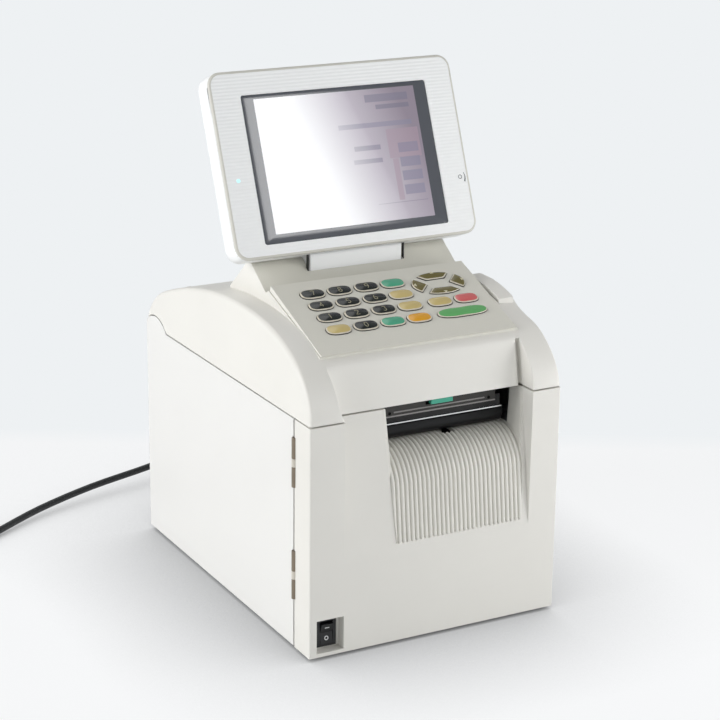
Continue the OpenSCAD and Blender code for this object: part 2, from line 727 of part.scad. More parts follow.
module console_body() {
    color([0.86, 0.85, 0.82]) machine() difference() {
        union() {
            difference() {
                slab(-console_half, console_half) console_outline(0);
                cover_outside(-half_w, half_w);
                slab(-console_half + wall, console_half - wall)
                    polygon([[valley[0] - 3, crown - 40], [valley[0] - 3, valley[1] - 5],
                    valley + [0, -4], peak + [0, -3.4], peak + [5, -3.4], [165, crown - 7],
                        [165, crown - 40]]);
            }
            intersection() {
                pad_frame() box([-tray_half, 6, tray_n], [tray_half, pad_len - 6, 0]);
                slab(-tray_half, tray_half) polygon([[0, crown - 60], pad_low(-20, 0),
                    pad_low(pad_len - 0.01, 0), [pad_y + 82, crown - 60]]);
            }
        }
        intersection() {
            pad_frame() box([-tray_half + 2.5, 8.5, tray_n + 2], [tray_half - 2.5, pad_len - 8.5, 9]);
            slab(-tray_half, tray_half) polygon([[0, crown - 60], [0, crown + 40], [200, crown + 40],
                [200, crown - 60]]);
        }
        box([-arm_half - 0.5, axis_y - 14.2, crown - 30], [arm_half + 0.5, axis_y + 5.5, crown + 60]);
    }
}

module key_outline(w, h, o) {
    n = 32;
    polygon([for (i = [0 : n - 1]) let (a = 360 * i / n)
        [(w / 2 + o) * sign(cos(a)) * pow(abs(cos(a)), 0.7),
        (h / 2 + o) * sign(sin(a)) * pow(abs(sin(a)), 0.8)]]);
}

ring_x = 46 * pad_k;
ring_d = 60.9;
ring_a = 21.5 * pad_k;
ring_b = 12.7;
module arrow_outline(k, o) {
    x0 = 7.6 * pad_k + o;
    x1 = 22 * pad_k + o;
    x2 = 9 * pad_k - 1.4 * o;
    intersection() {
        polygon([for (i = [0 : 47]) [(ring_a + o) * cos(i * 7.5), (ring_b + o) * sin(i * 7.5)]]);
        if (k == 0) polygon([[-x0, 5.1 - o], [x0, 5.1 - o], [x1, 19.5], [-x1, 19.5]]);
        if (k == 1) polygon([[-x0, -5.1 + o], [x0, -5.1 + o], [x1, -19.5], [-x1, -19.5]]);
        if (k == 2) polygon([[-x2, 0], [-25 * pad_k, 16 + 1.4 * o], [-25 * pad_k, -16 - 1.4 * o]]);
        if (k == 3) polygon([[x2, 0], [25 * pad_k, 16 + 1.4 * o], [25 * pad_k, -16 - 1.4 * o]]);
    }
}

// Where every key stands on the pad: x, d, width, depth
key_spots = [
    [col_x[0], row_d[0], 1], [col_x[1], row_d[0], 1], [col_x[2], row_d[0], 1], [col_x[3], row_d[0], 1],
    [col_x[0], row_d[1], 1], [col_x[1], row_d[1], 1], [col_x[2], row_d[1], 1], [col_x[3], row_d[1], 1],
    [col_x[0], row_d[2], 1], [col_x[1], row_d[2], 1], [col_x[2], row_d[2], 1], [col_x[3], row_d[2], 1],
    [36.2 * pad_k, row_d[2], 1], [57.8 * pad_k, row_d[2], 1],
    [col_x[0], row_d[3], 1], [col_x[1], row_d[3], 1], [col_x[2], row_d[3], 1], [col_x[3], row_d[3], 1],
    [46.9 * pad_k, row_d[3], 2.12]];

function key_wide(s) = key_w * s[2] * pad_k;

module keypad_cap() {
    color([0.8, 0.79, 0.76]) machine() difference() {
        union() {
            slab(-pad_half, pad_half) polygon([pad(0, 0), pad(pad_len, 0), pad_low(pad_len, 0),
                pad_low(0.4, 0)]);
            pad_frame() box([-tray_half + 2.8, 8.8, guide_n], [tray_half - 2.8, pad_len - 8.8, -0.5]);
        }
        pad_frame() {
            for (s = key_spots) translate([s[0], s[1], -12]) linear_extrude(height = 24)
                key_outline(key_wide(s), key_h, key_gap);
            for (k = [0 : 3]) translate([ring_x, ring_d, -12]) linear_extrude(height = 24)
                arrow_outline(k, key_gap);
        }
    }
}

module key_solid(i) {
    s = key_spots[i];
    machine() pad_frame() translate([s[0], s[1], 0]) {
        translate([0, 0, flange_n]) linear_extrude(height = key_rise - flange_n)
            key_outline(key_wide(s), key_h, 0);
        translate([0, 0, key_rise - eps]) linear_extrude(height = dome_rise)
            key_outline(key_wide(s), key_h, -0.9);
        translate([0, 0, flange_n - flange_t]) linear_extrude(height = flange_t + eps)
            key_outline(key_wide(s), key_h, 0.8);
    }
}

module arrow_solid(k) {
    machine() pad_frame() translate([ring_x, ring_d, 0]) {
        translate([0, 0, flange_n]) linear_extrude(height = key_rise - flange_n) arrow_outline(k, 0);
        translate([0, 0, key_rise - eps]) linear_extrude(height = dome_rise) arrow_outline(k, -0.9);
        translate([0, 0, flange_n - flange_t]) linear_extrude(height = flange_t + eps)
            arrow_outline(k, 0.8);
    }
}

dark = [0.13, 0.15, 0.15];
sand = [0.82, 0.76, 0.52];
teal = [0.25, 0.62, 0.45];
module key_7() { color(dark) key_solid(0); }
module key_8() { color(dark) key_solid(1); }
module key_9() { color(dark) key_solid(2); }
module key_teal_1() { color(teal) key_solid(3); }
module key_4() { color(dark) key_solid(4); }
module key_5() { color(dark) key_solid(5); }
module key_6() { color(dark) key_solid(6); }
module key_sand_1() { color(sand) key_solid(7); }
module key_1() { color(dark) key_solid(8); }
module key_2() { color(dark) key_solid(9); }
module key_3() { color(dark) key_solid(10); }
module key_sand_2() { color(sand) key_solid(11); }
module key_sand_3() { color(sand) key_solid(12); }
module key_red() { color([0.8, 0.36, 0.36]) key_solid(13); }
module key_sand_4() { color(sand) key_solid(14); }
module key_0() { color(dark) key_solid(15); }
module key_teal_2() { color(teal) key_solid(16); }
module key_orange() { color([0.88, 0.63, 0.1]) key_solid(17); }
module key_green() { color([0.36, 0.66, 0.38]) key_solid(18); }
module key_up() { color([0.38, 0.36, 0.2]) arrow_solid(0); }
module key_down() { color([0.38, 0.36, 0.2]) arrow_solid(1); }
module key_left() { color([0.38, 0.36, 0.2]) arrow_solid(2); }
module key_right() { color([0.38, 0.36, 0.2]) arrow_solid(3); }

module keypad_board() {
    color([0.15, 0.4, 0.25]) machine() pad_frame() {
        box([-tray_half + 2.5, 8.5, tray_n + 2], [tray_half - 2.5, pad_len - 8.5, board_n]);
        for (s = key_spots) button(s[0], s[1]);
        for (k = [0, 1]) button(ring_x, ring_d + (k == 0 ? 8.6 : -8.6));
        for (k = [0, 1]) button(ring_x + (k == 0 ? -15 : 15) * pad_k, ring_d);
    }
}

// Push switch on the board, just below a key's foot
module button(x, d) {
    translate([x, d, board_n - eps]) cylinder(h = flange_n - flange_t - key_travel - 0.3 - board_n,
        r = button_r, $fn = 24);
}

module display_arm() {
    color([0.88, 0.87, 0.84]) machine() {
        difference() {
            slab(-arm_half, arm_half) polygon([[axis_y - 13.7, crown - 30],
                [axis_y - 13.7, axis_z - 13.5], [axis_y - 6, axis_z - 6],
                [axis_y - 6, axis_z], [axis_y + 6, axis_z], [axis_y + 5, axis_z - 12],
                    [axis_y + 5, crown - 30]]);
            cover_outside(-half_w, half_w);
        }
        rod_x(-arm_half, arm_half, axis_y, axis_z, barrel_r);
        rod_x(-arm_half - 8, arm_half + 8, axis_y, axis_z, 3);
    }
}

module display_bezel() {
    color([0.93, 0.93, 0.93]) machine() head_frame() difference() {
        union() {
            oblong(-display_w / 2, display_w / 2, base_z, base_z + display_h, face_y + 1.5, seam_y, corner);
            oblong(-display_w / 2 + 1.2, display_w / 2 - 1.2, base_z + 1.2, base_z + display_h - 1.2,
                face_y, face_y + 1.51, corner - 1.2);
        }
        oblong(-display_w / 2 + shell, display_w / 2 - shell, base_z + shell,
            base_z + display_h - shell, face_y + lip + glass, seam_y + 1, corner - shell);
        oblong(-window_x - 2, window_x + 2, window_z0 - 2, window_z1 + 2, face_y + lip, face_y + 9, 2);
        oblong(-window_x, window_x, window_z0, window_z1, face_y - 1, face_y + 9, 2);
        box([-arm_half - 0.6, face_y + 5, base_z - 1], [arm_half + 0.6, 0, base_z + 6]);
        rod_y(led_x, face_y - 1, face_y + 9, base_z + led_z, 1.3);
    }
}

module display_window() {
    color([0.2, 0.21, 0.23, 0.6]) machine() head_frame()
        oblong(-window_x - 2, window_x + 2, window_z0 - 2, window_z1 + 2, face_y + lip,
            face_y + lip + glass, 2);
}

module lcd_panel() {
    color([0.75, 0.76, 0.85]) machine() head_frame()
        box([-window_x + 2.2, face_y + lip + glass, window_z0 + 1.5],
            [window_x - 2.2, face_y + lip + glass + 5.8, window_z1 - 1.5]);
}

module status_led() {
    color([0.6, 0.95, 1]) machine() head_frame() {
        rod_y(led_x, face_y - 0.2, face_y + 4, base_z + led_z, 1.3);
        rod_y(led_x, face_y + lip + glass, face_y + 5.5, base_z + led_z, 1.9);
    }
}

module display_housing() {
    color([0.91, 0.9, 0.88]) machine() head_frame() difference() {
        union() {
            difference() {
                union() {
                    oblong(-display_w / 2, display_w / 2, base_z, base_z + display_h, seam_y, 1, corner);
                    hull() {
                        oblong(-display_w / 2, display_w / 2, base_z, base_z + display_h, 0.5, 1, corner);
                        oblong(-display_w / 2 + 2, display_w / 2 - 2, base_z + 2,
                            base_z + display_h - 2, 5.5, 6, corner);
                        oblong(-display_w / 2 + 8, display_w / 2 - 8, base_z + 8,
                            base_z + display_h - 8, back_y - 0.5, back_y, corner);
                    }
                }
                oblong(-display_w / 2 + shell, display_w / 2 - shell, base_z + shell,
                    base_z + display_h - shell, seam_y - 1, 1, corner - shell);
                oblong(-display_w / 2 + 9, display_w / 2 - 9, base_z + 9, base_z + display_h - 9, 0,
                    back_y - shell, corner);
            }
            for (s = [-1, 1]) translate([s > 0 ? arm_half + 0.6 : -arm_half - 6.6, 0, 0]) {
                rotate([0, 90, 0]) cylinder(h = 6, r = 6.5, $fn = 48);
                box([0, 0, -6.5], [6, back_y - 1, 6.5]);
            }
        }
        box([-arm_half - 0.6, face_y, base_z - 1], [arm_half + 0.6, back_y + 1, 12]);
        rod_x(-arm_half - 9, arm_half + 9, 0, 0, 3 + fit);
        for (i = [0 : 7]) box([-35, back_y - shell - 1, 50 + i * 5], [35, back_y + 1, 52 + i * 5]);
    }
}

module switch_bezel() {
    color([0.1, 0.1, 0.1]) machine() difference() {
        union() {
            box([sw_x - sw_w / 2, sw_deep - 2, sw_z - sw_h / 2],
                [sw_x + sw_w / 2, sw_deep, sw_z + sw_h / 2]);
            box([sw_x - 6.5, sw_deep - 0.5, sw_z - 9.5], [sw_x + 6.5, sw_deep + 14, sw_z + 9.5]);
        }
        box([sw_x - 5, sw_deep - 3, sw_z - 8.3], [sw_x + 5, sw_deep + 7, sw_z + 8.3]);
        rod_x(sw_x - 6, sw_x + 6, sw_deep + 1.5, sw_z, 1.2 + fit);
    }
}

rock = 7;
module switch_rocker() {
    color([0.18, 0.18, 0.18]) machine() translate([sw_x, sw_deep + 1.5, sw_z]) {
        rotate([rock, 0, 0]) slab(-4.8, 4.8)
            polygon([[-5, -7.5], [-2.9, 0], [-5, 7.5], [0.5, 7.3], [1.9, 0], [0.5, -7.3]]);
        rod_x(-5.8, 5.8, 0, 0, 1.2);
    }
}

module power_supply() {
    color([0.66, 0.67, 0.68]) machine() difference() {
        box([-half_w + 16, supply_y0, chassis_floor + 2], [plate_r - 6, body_d - 22, supply_top]);
        for (i = [0 : 6])
            box([vent_x0 + i * 18, supply_y0 + 14, supply_top - 2],
                [vent_x0 + 8 + i * 18, body_d - 34, supply_top + 1]);
    }
}

module main_board() {
    color([0.12, 0.42, 0.25]) machine() {
        box([inner_w - 9, board_y0, board_z0], [inner_w - 7.4, board_y1, board_z1]);
        for (y = [board_y0 + 4, board_y1 - 4], z = [board_z0 + 4, board_z1 - 4])
            rod_x(inner_w - 7.5, inner_w, y, z, 2.5);
        for (y = [board_y0 + 20, (board_y0 + board_y1) / 2 - 7, board_y1 - 34])
            box([inner_w - 12, y, board_z0 + 30], [inner_w - 8.9, y + 22, board_z0 + 52]);
    }
}

module power_inlet() {
    color([0.1, 0.1, 0.1]) machine() difference() {
        union() {
            box([inlet_x - 13.7, body_d - 20, inlet_z - 10.2],
                [inlet_x + 13.7, body_d + 0.01, inlet_z + 10.2]);
            box([inlet_x - 17, body_d, inlet_z - 13], [inlet_x + 17, body_d + 1.5, inlet_z + 13]);
        }
        box([inlet_x - 12.2, body_d - 15, inlet_z - 8.4], [inlet_x + 12.2, body_d + 3, inlet_z + 8.4]);
    }
}

// Cord: hand-placed round points in the floor frame, a smooth tube through them
relief = 24;
out_y = body_d / 2 + 19 + relief;
cord_lift = cord_r + 0.1;
coil_r = 30;
coil_bundle = 4 * cord_d;
coil_high = 1.95 * cord_d;
coil_out = coil_r + 1.5 * cord_d;
coil_in = 210;
coil_x = -246 + coil_out * cos(coil_in - 90);
coil_y = 160 + coil_out * sin(coil_in - 90);
function coil_pt(a) = [coil_x + coil_out * cos(a), coil_y + coil_out * sin(a), cord_lift];
cord_pts = [[inlet_x + centre_shift, out_y - 2, inlet_z + foot_h],
    [inlet_x + centre_shift, out_y + 18, inlet_z + foot_h - 3],
    [29, body_d / 2 + 90, 31], [-18, body_d / 2 + 105, 18.5], [-62, body_d / 2 + 94, 14],
    [-118, body_d / 2 + 81, 10.5], [-170, body_d / 2 + 63, 6.5], [-215, body_d / 2 + 37.5, 4.2],
    coil_pt(coil_in + 90), coil_pt(coil_in + 60)];
function knot(i) = cord_pts[max(0, min(len(cord_pts) - 1, i))];
function smooth(a, b, c, d, t) = 0.5 * (2 * b + (c - a) * t + (2 * a - 5 * b + 4 * c - d) * t * t
    + (3 * b - a - 3 * c + d) * t * t * t);
cord_per = 7;
cord_rings = (len(cord_pts) - 1) * cord_per;
function cord_at(k) = let (i = min(len(cord_pts) - 2, floor(k / cord_per)), t = k / cord_per - i)
    smooth(knot(i - 1), knot(i), knot(i + 1), knot(i + 2), t);
function cord_dir(k) = let (d = cord_at(min(cord_rings, k + 0.5)) - cord_at(max(0, k - 0.5))) d / norm(d);
function side_dir(k) = let (s = cross(cord_dir(k), [0, 0, 1])) s / norm(s);
function ring(k) = let (c = cord_at(k), s = side_dir(k), u = cross(s, cord_dir(k)))
    [for (j = [0 : cord_sides - 1]) let (a = 360 * j / cord_sides) c + cord_r * (cos(a) * s + sin(a) * u)];

module cord_run() {
    color([0.07, 0.07, 0.07]) polyhedron(
        points = [for (k = [0 : cord_rings]) each ring(k)],
        faces = concat([[for (j = [0 : cord_sides - 1]) j]],
            [for (k = [0 : cord_rings - 1]) for (j = [0 : cord_sides - 1])
                [k * cord_sides + j, (k + 1) * cord_sides + j,
                    (k + 1) * cord_sides + (j + 1) % cord_sides, k * cord_sides + (j + 1) % cord_sides]],
            [[for (j = [cord_sides - 1 : -1 : 0]) cord_rings * cord_sides + j]]));
}

module cord_coil() {
    color([0.07, 0.07, 0.07]) translate([coil_x, coil_y, 0]) rotate_extrude($fn = 64)
        translate([coil_r - coil_bundle / 2, 0]) union() {
            translate([cord_r, 0]) square([coil_bundle - cord_d, coil_high]);
            translate([0, cord_r]) square([coil_bundle, coil_high - cord_d]);
            for (x = [cord_r, coil_bundle - cord_r], z = [cord_r, coil_high - cord_r]) translate([x, z])
                circle(r = cord_r, $fn = 32);
        }
}

module cord_connector() {
    color([0.08, 0.08, 0.08]) machine() {
        box([inlet_x - 11.9, body_d - 14.5, inlet_z - 8.1], [inlet_x + 11.9, body_d + 14, inlet_z + 8.1]);
        box([inlet_x - 9, body_d + 13.9, inlet_z - 7], [inlet_x + 9, body_d + 20, inlet_z + 7]);
        rod_y(inlet_x, body_d + 19, body_d + 19 + relief, inlet_z, cord_r + 1.3);
    }
}

plug_z = coil_high - cord_r;
module cord_plug() {
    color([0.08, 0.08, 0.08]) translate([coil_x - coil_r - cord_d, coil_y, 0]) rotate([0, 0, -90]) {
        rod_x(-26 - relief, -26, 0, plug_z, cord_r + 1.3);
        box([-44 - relief, -8, plug_z - 7], [-25 - relief, 8, plug_z + 7]);
        for (y = [-6.35, 6.35]) box([-61 - relief, y - 0.75, plug_z - 3.15],
            [-43.9 - relief, y + 0.75, plug_z + 3.15]);
        rod_x(-27, -4, 0, plug_z, cord_r);
    }
}

base_pan();
rubber_feet();
front_cover();
shell_panel();
side_door();
door_leaves();
post_leaves();
top_cover();
release_lever();
chassis();
issue_chute();
console_body();
keypad_cap();
keypad_board();
display_arm();
display_bezel();
display_housing();
display_window();
lcd_panel();
status_led();
switch_bezel();
switch_rocker();
print_head();
head_lever();
platen_roller();
platen_gear();
feed_motor();
motor_pinion();
paper_roll();
tear_bar();
power_supply();
main_board();
power_inlet();
cord_connector();
cord_run();
cord_coil();
cord_plug();
key_0();
key_1();
key_2();
key_3();
key_4();
key_5();
key_6();
key_7();
key_8();
key_9();
key_sand_1();
key_sand_2();
key_sand_3();
key_sand_4();
key_teal_1();
key_teal_2();
key_orange();
key_red();
key_green();
key_up();
key_down();
key_left();
key_right();
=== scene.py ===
"""Ticket register: the looks of every piece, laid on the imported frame.
Shapes are worked out in millimetres in the maker's frame (x across from the middle, y back from the
front face, z up from the body's lower edge) and moved into the row frame by row()."""
import bpy, bmesh, json, math
import numpy as np
from mathutils import Matrix, Vector


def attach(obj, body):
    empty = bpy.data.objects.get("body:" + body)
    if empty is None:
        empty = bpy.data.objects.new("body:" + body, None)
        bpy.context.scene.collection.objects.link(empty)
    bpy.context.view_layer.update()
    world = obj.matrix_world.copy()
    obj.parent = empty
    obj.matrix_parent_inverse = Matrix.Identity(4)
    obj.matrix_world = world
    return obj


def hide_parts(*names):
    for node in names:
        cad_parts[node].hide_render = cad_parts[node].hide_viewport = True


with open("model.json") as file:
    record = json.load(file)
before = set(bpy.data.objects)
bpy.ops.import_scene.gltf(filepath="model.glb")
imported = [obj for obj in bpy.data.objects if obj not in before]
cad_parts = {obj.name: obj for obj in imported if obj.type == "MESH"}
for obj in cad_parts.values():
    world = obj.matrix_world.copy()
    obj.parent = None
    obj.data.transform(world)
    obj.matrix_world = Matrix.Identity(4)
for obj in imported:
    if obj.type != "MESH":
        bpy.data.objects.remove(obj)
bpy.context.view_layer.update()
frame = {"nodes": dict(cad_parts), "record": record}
nodes = frame["nodes"]
body_of = {n: b for b, ns in frame["record"]["behaviour"]["bodies"].items() for n in ns}

# From the maker's frame to the row frame; half width, depth, height of the seam and rise of the cover above it
SHIFT = np.array([0.8, -139.0, 3.0])
HALF, DEPTH, SEAM, RISE = 100.0, 278.0, 169.0, 56.5
CROWN = SEAM + RISE
BODY_TOP, COVER_LOW = SEAM - 0.4, SEAM + 0.8
# Rear hinge as (y, z), and the radius at which the cover's lower edge passes over it
PIVOT = np.array([DEPTH - 17.3, SEAM - 17.0])
HUMP = 26.6
# Front edge and slope of the keypad, tilt axis and lean of the display, thickness of the mains cord
PAD_Y, PAD_Z, PAD_TILT = 26.0, CROWN - 16.6, math.radians(21)
AXIS_Y, AXIS_Z, LEAN = 136.0, CROWN + 40.5, math.radians(22)
CORD_D = 5.4
# Points nearer than this (m) become one, in meshes made here and in copies of the frame's solids
MERGE_MADE, MERGE_COPIED = 2e-6, 3e-6


def row(p):
    """Maker's millimetres to metres in the row frame."""
    return (np.asarray(p, float) + SHIFT) / 1000


def on_pad(x, d, n):
    """Keypad plane: x across, d up the slope from its front edge, n along its normal."""
    c, s = math.cos(PAD_TILT), math.sin(PAD_TILT)
    return np.stack(np.broadcast_arrays(x, PAD_Y + d * c - n * s, PAD_Z + d * s + n * c), -1)


def on_head(x, y, z):
    """Display head: x across, y back from the tilt axis and z up, leaned back by LEAN."""
    c, s = math.cos(LEAN), math.sin(LEAN)
    return np.stack(np.broadcast_arrays(x, AXIS_Y + y * c + z * s, AXIS_Z - y * s + z * c), -1)


def eased_step(u):
    """0 below 0, 1 above 1 and 3u^2 - 2u^3 between."""
    u = np.clip(u, 0, 1)
    return u * u * (3 - 2 * u)


# ---------------------------------------------------------------- meshes

def into_scene(name, data):
    """Object of the scene with this data."""
    obj = bpy.data.objects.new(name, data)
    bpy.context.scene.collection.objects.link(obj)
    return obj


def grid_faces(nu, nv, wrap_u=False, wrap_v=False):
    """Quads of a nu by nv grid of points, joined round where a direction wraps."""
    a, b = np.meshgrid(np.arange(nu if wrap_u else nu - 1), np.arange(nv if wrap_v else nv - 1), indexing="ij")
    c, d = (a + 1) % nu, (b + 1) % nv
    return np.stack([a * nv + b, c * nv + b, c * nv + d, a * nv + d], -1).reshape(-1, 4)


def make(name, parts, body, finishes, stands_for=(), sharp=35, bevel=0, thick=0):
    """One mesh from parts, each (points in metres [n, 3], faces [m, 4], finish index or none for 0). Doubles are
    merged, and faces turned outwards. thick (mm) gives an open skin a wall inwards, bevel (mm) rounds its edges."""
    points, faces, kinds, n = [], [], [], 0
    for p, f, *kind in parts:
        p = np.asarray(p, float).reshape(-1, 3)
        points.append(p)
        faces += [[i + n for i in face] for face in f] if isinstance(f, list) else (f + n).tolist()
        kinds += (kind or [0]) * len(f)
        n += len(p)
    mesh = bpy.data.meshes.new(name)
    mesh.from_pydata(np.concatenate(points).tolist(), [], faces)
    mesh.polygons.foreach_set("material_index", np.array(kinds, np.int32))
    bm = bmesh.new()
    bm.from_mesh(mesh)
    bmesh.ops.remove_doubles(bm, verts=bm.verts, dist=MERGE_MADE)
    bmesh.ops.dissolve_degenerate(bm, dist=MERGE_MADE, edges=bm.edges)
    bmesh.ops.recalc_face_normals(bm, faces=bm.faces)
    bm.to_mesh(mesh)
    bm.free()
    return finish_piece(name, mesh, body, finishes, stands_for, sharp, bevel, thick)


def finish_piece(name, mesh, body, finishes, stands_for, sharp, bevel, thick=0, segments=2, by_weight=False):
    """Object for a finished mesh: smooth faces, its wall and rounded edges, its finishes, and its body."""
    mesh.polygons.foreach_set("use_smooth", np.ones(len(mesh.polygons), bool))
    mesh.set_sharp_from_angle(angle=math.radians(sharp))
    if thick:
        of_loop, crisp = np.empty(len(mesh.loops), np.int32), np.empty(len(mesh.edges), bool)
        mesh.loops.foreach_get("edge_index", of_loop)
        mesh.edges.foreach_get("use_edge_sharp", crisp)
        mesh.edges.foreach_set("use_edge_sharp", crisp | (np.bincount(of_loop, minlength=len(crisp)) == 1))
    piece = into_scene(name, mesh)
    for f in finishes:
        mesh.materials.append(f)
    if thick:
        wall = piece.modifiers.new("wall", "SOLIDIFY")
        wall.thickness, wall.offset, wall.use_even_offset = thick / 1000, -1, False
    if bevel:
        edge = piece.modifiers.new("edges", "BEVEL")
        edge.width, edge.segments, edge.use_clamp_overlap = bevel / 1000, segments, True
        edge.limit_method = "WEIGHT" if by_weight else "ANGLE"
        edge.angle_limit = math.radians(40)
        edge.harden_normals = True
    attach(piece, body)
    if stands_for:
        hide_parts(*([stands_for] if isinstance(stands_for, str) else stands_for))
    return piece


def loft(loops, close=True):
    """Skin through a stack of closed loops [k, n, 3]; close also joins the last loop to the first."""
    loops = np.asarray(loops)
    k, n = loops.shape[:2]
    return loops.reshape(-1, 3), grid_faces(k, n, close, True)


def middle_of(loop):
    """A loop of as many points, all of them in the middle of this one: it closes a skin like a fan."""
    return np.repeat(loop.mean(0)[None], len(loop), 0)


def capped(loops):
    """Skin through closed loops, its two ends closed by a fan to each end loop's middle."""
    loops = np.asarray(loops)
    return loft([middle_of(loops[0]), *loops, middle_of(loops[-1])], close=False)


def between(front, back):
    """Closed slab between two grids of the same shape: both skins and the four edges."""
    nu, nv = front.shape[:2]
    ring = np.concatenate([front, back[:, ::-1]], 1)
    faces = grid_faces(nu, 2 * nv, False, True)
    j = np.arange(nv - 1)
    first = np.stack([j, j + 1, 2 * nv - 2 - j, 2 * nv - 1 - j], -1)
    last = first[:, ::-1] + (nu - 1) * 2 * nv
    return ring.reshape(-1, 3), np.concatenate([faces, first, last])


def prism(outline, x0, x1):
    """Flat outline of (y, z) points pulled out along x, its ends closed."""
    o = np.asarray(outline, float)
    return capped([row(np.column_stack([np.full(len(o), x), o])) for x in (x0, x1)])


def round_loop(hw, hh, r, n=9):
    """Rounded oblong about the origin: four corner arcs of n points each, anticlockwise from the right."""
    out = []
    for k, (sx, sz) in enumerate([(1, 1), (-1, 1), (-1, -1), (1, -1)]):
        t = np.linspace(0, np.pi / 2, n) + k * np.pi / 2
        out.append(np.stack([np.cos(t) * r + sx * (hw - r), np.sin(t) * r + sz * (hh - r)], -1))
    return np.concatenate(out)


def rounded_copy(node, body, finishes, width, weight=lambda x, y, z: 1.0, zone=lambda c, n: 0, limit=28, segments=2,
                 shape=None):
    """The frame's solid copied, its triangles merged and its flat faces joined, with its edges rounded.
    width (mm) times weight(x, y, z of an edge's middle in maker's mm) is the rounding, zone picks a finish
    for a face from its middle and normal, and shape moves points."""
    name = node + "_dressed"
    bm = bmesh.new()
    bm.from_mesh(nodes[node].data)
    bmesh.ops.remove_doubles(bm, verts=bm.verts, dist=MERGE_COPIED)
    bmesh.ops.dissolve_limit(bm, angle_limit=math.radians(0.6), verts=bm.verts, edges=bm.edges,
                             use_dissolve_boundaries=False)
    heft = bm.edges.layers.float.new("bevel_weight_edge")
    for e in bm.edges:
        if len(e.link_faces) == 2 and e.calc_face_angle(0) > math.radians(limit):
            e[heft] = weight(*((e.verts[0].co + e.verts[1].co) * 500 - Vector(SHIFT)))
    for f in bm.faces:
        f.material_index = zone(f.calc_center_median() * 1000 - Vector(SHIFT), f.normal)
    mesh = bpy.data.meshes.new(name)
    bm.to_mesh(mesh)
    bm.free()
    if shape:
        co = np.empty((len(mesh.vertices), 3), np.float32)
        mesh.vertices.foreach_get("co", co.ravel())
        mesh.vertices.foreach_set("co", row(shape(co.astype(float) * 1000 - SHIFT)).ravel())
        mesh.update()
    return finish_piece(name, mesh, body, finishes, node, 30, width, segments=segments, by_weight=True)


# ---------------------------------------------------------------- finishes

ROUGH_DRIFT = 0.06


def linear(code):
    """sRGB hex to linear red, green, blue and alpha."""
    c = np.array([int(code[i:i + 2], 16) / 255 for i in (1, 3, 5)])
    return (*np.where(c <= 0.04045, c / 12.92, ((c + 0.055) / 1.055) ** 2.4).tolist(), 1.0)


def add(tree, kind, settings=(), links=()):
    """One node with its settings (properties or input values) and its links {input: output socket}."""
    n = tree.nodes.new(kind)
    for key, value in dict(settings).items():
        if isinstance(key, str) and hasattr(n, key):
            setattr(n, key, value)
        else:
            n.inputs[key].default_value = value
    for key, source in dict(links).items():
        tree.links.new(source, n.inputs[key])
    return n


def new_surface(name):
    """A material with its node tree and its shader."""
    m = bpy.data.materials.new(name)
    m.use_nodes = True
    return m, m.node_tree, m.node_tree.nodes["Principled BSDF"]


def finish(name, colour, roughness, metallic=0.0, grain=0.9, bump=0.02, drift=0.03, drift_size=60,
           stretch=(1, 1, 1), **shader):
    """A surface: its colour with a slow drift of lightness over drift_size mm, a grain in mm as bump,
    and a small drift of roughness. stretch draws the grain out along an axis, as brushing does."""
    m, t, bsdf = new_surface(name)
    bsdf.inputs["Metallic"].default_value = metallic
    for key, value in shader.items():
        bsdf.inputs[key.replace("_", " ").title().replace("Ior", "IOR")].default_value = value
    place = add(t, "ShaderNodeTexCoord").outputs["Object"]
    slow = add(t, "ShaderNodeTexNoise", {"Scale": 1000 / drift_size, "Detail": 3.0}, {"Vector": place}).outputs["Fac"]
    c = np.array(linear(colour)[:3])
    low, high = (*(c * (1 - drift)).tolist(), 1), (*np.minimum(c * (1 + drift), 1).tolist(), 1)
    mix = add(t, "ShaderNodeMix", {"data_type": "RGBA", 6: low, 7: high}, {0: slow})
    t.links.new(mix.outputs[2], bsdf.inputs["Base Color"])
    least, most = max(0.02, roughness - ROUGH_DRIFT), roughness + ROUGH_DRIFT
    rough = add(t, "ShaderNodeMapRange", {"To Min": least, "To Max": most}, {"Value": slow})
    t.links.new(rough.outputs["Result"], bsdf.inputs["Roughness"])
    if bump:
        spread = add(t, "ShaderNodeMapping", {"Scale": stretch}, {"Vector": place}).outputs["Vector"]
        fine = add(t, "ShaderNodeTexNoise", {"Scale": 1000 / grain, "Detail": 2.0}, {"Vector": spread})
        up = add(t, "ShaderNodeBump", {"Strength": 1.0, "Distance": bump / 1000}, {"Height": fine.outputs["Fac"]})
        t.links.new(up.outputs["Normal"], bsdf.inputs["Normal"])
    return m


def add_ribs(material, across, pitch, height):
    """Fine ribs on a surface: a sine along the direction across, its pitch and height in mm."""
    t = material.node_tree
    spot = add(t, "ShaderNodeTexCoord")
    along = add(t, "ShaderNodeVectorMath", {"operation": "DOT_PRODUCT", 1: across}, {0: spot.outputs["Object"]})
    turns = add(t, "ShaderNodeMath", {"operation": "MULTIPLY", 1: 2000 * math.pi / pitch},
                {0: along.outputs["Value"]})
    wave = add(t, "ShaderNodeMath", {"operation": "SINE"}, {0: turns.outputs[0]})
    normal = t.nodes["Principled BSDF"].inputs["Normal"]
    up = add(t, "ShaderNodeBump", {"Strength": 1.0, "Distance": height / 2000},
             {"Height": wave.outputs[0], "Normal": normal.links[0].from_socket})
    t.links.new(up.outputs["Normal"], normal)


# Moulded ABS, spark-eroded tool: even matt grain, true size 0.3 mm and drawn at 0.9 mm so that it shows
ivory = finish("moulded_abs_ivory", "#E0DED8", 0.48, bump=0.012, specular_ior_level=0.4)
cover_ivory = finish("moulded_abs_cover", "#E2E0DA", 0.42, bump=0.01)
console_grey = finish("moulded_abs_console", "#D7D5CB", 0.44, grain=1.1, bump=0.014)
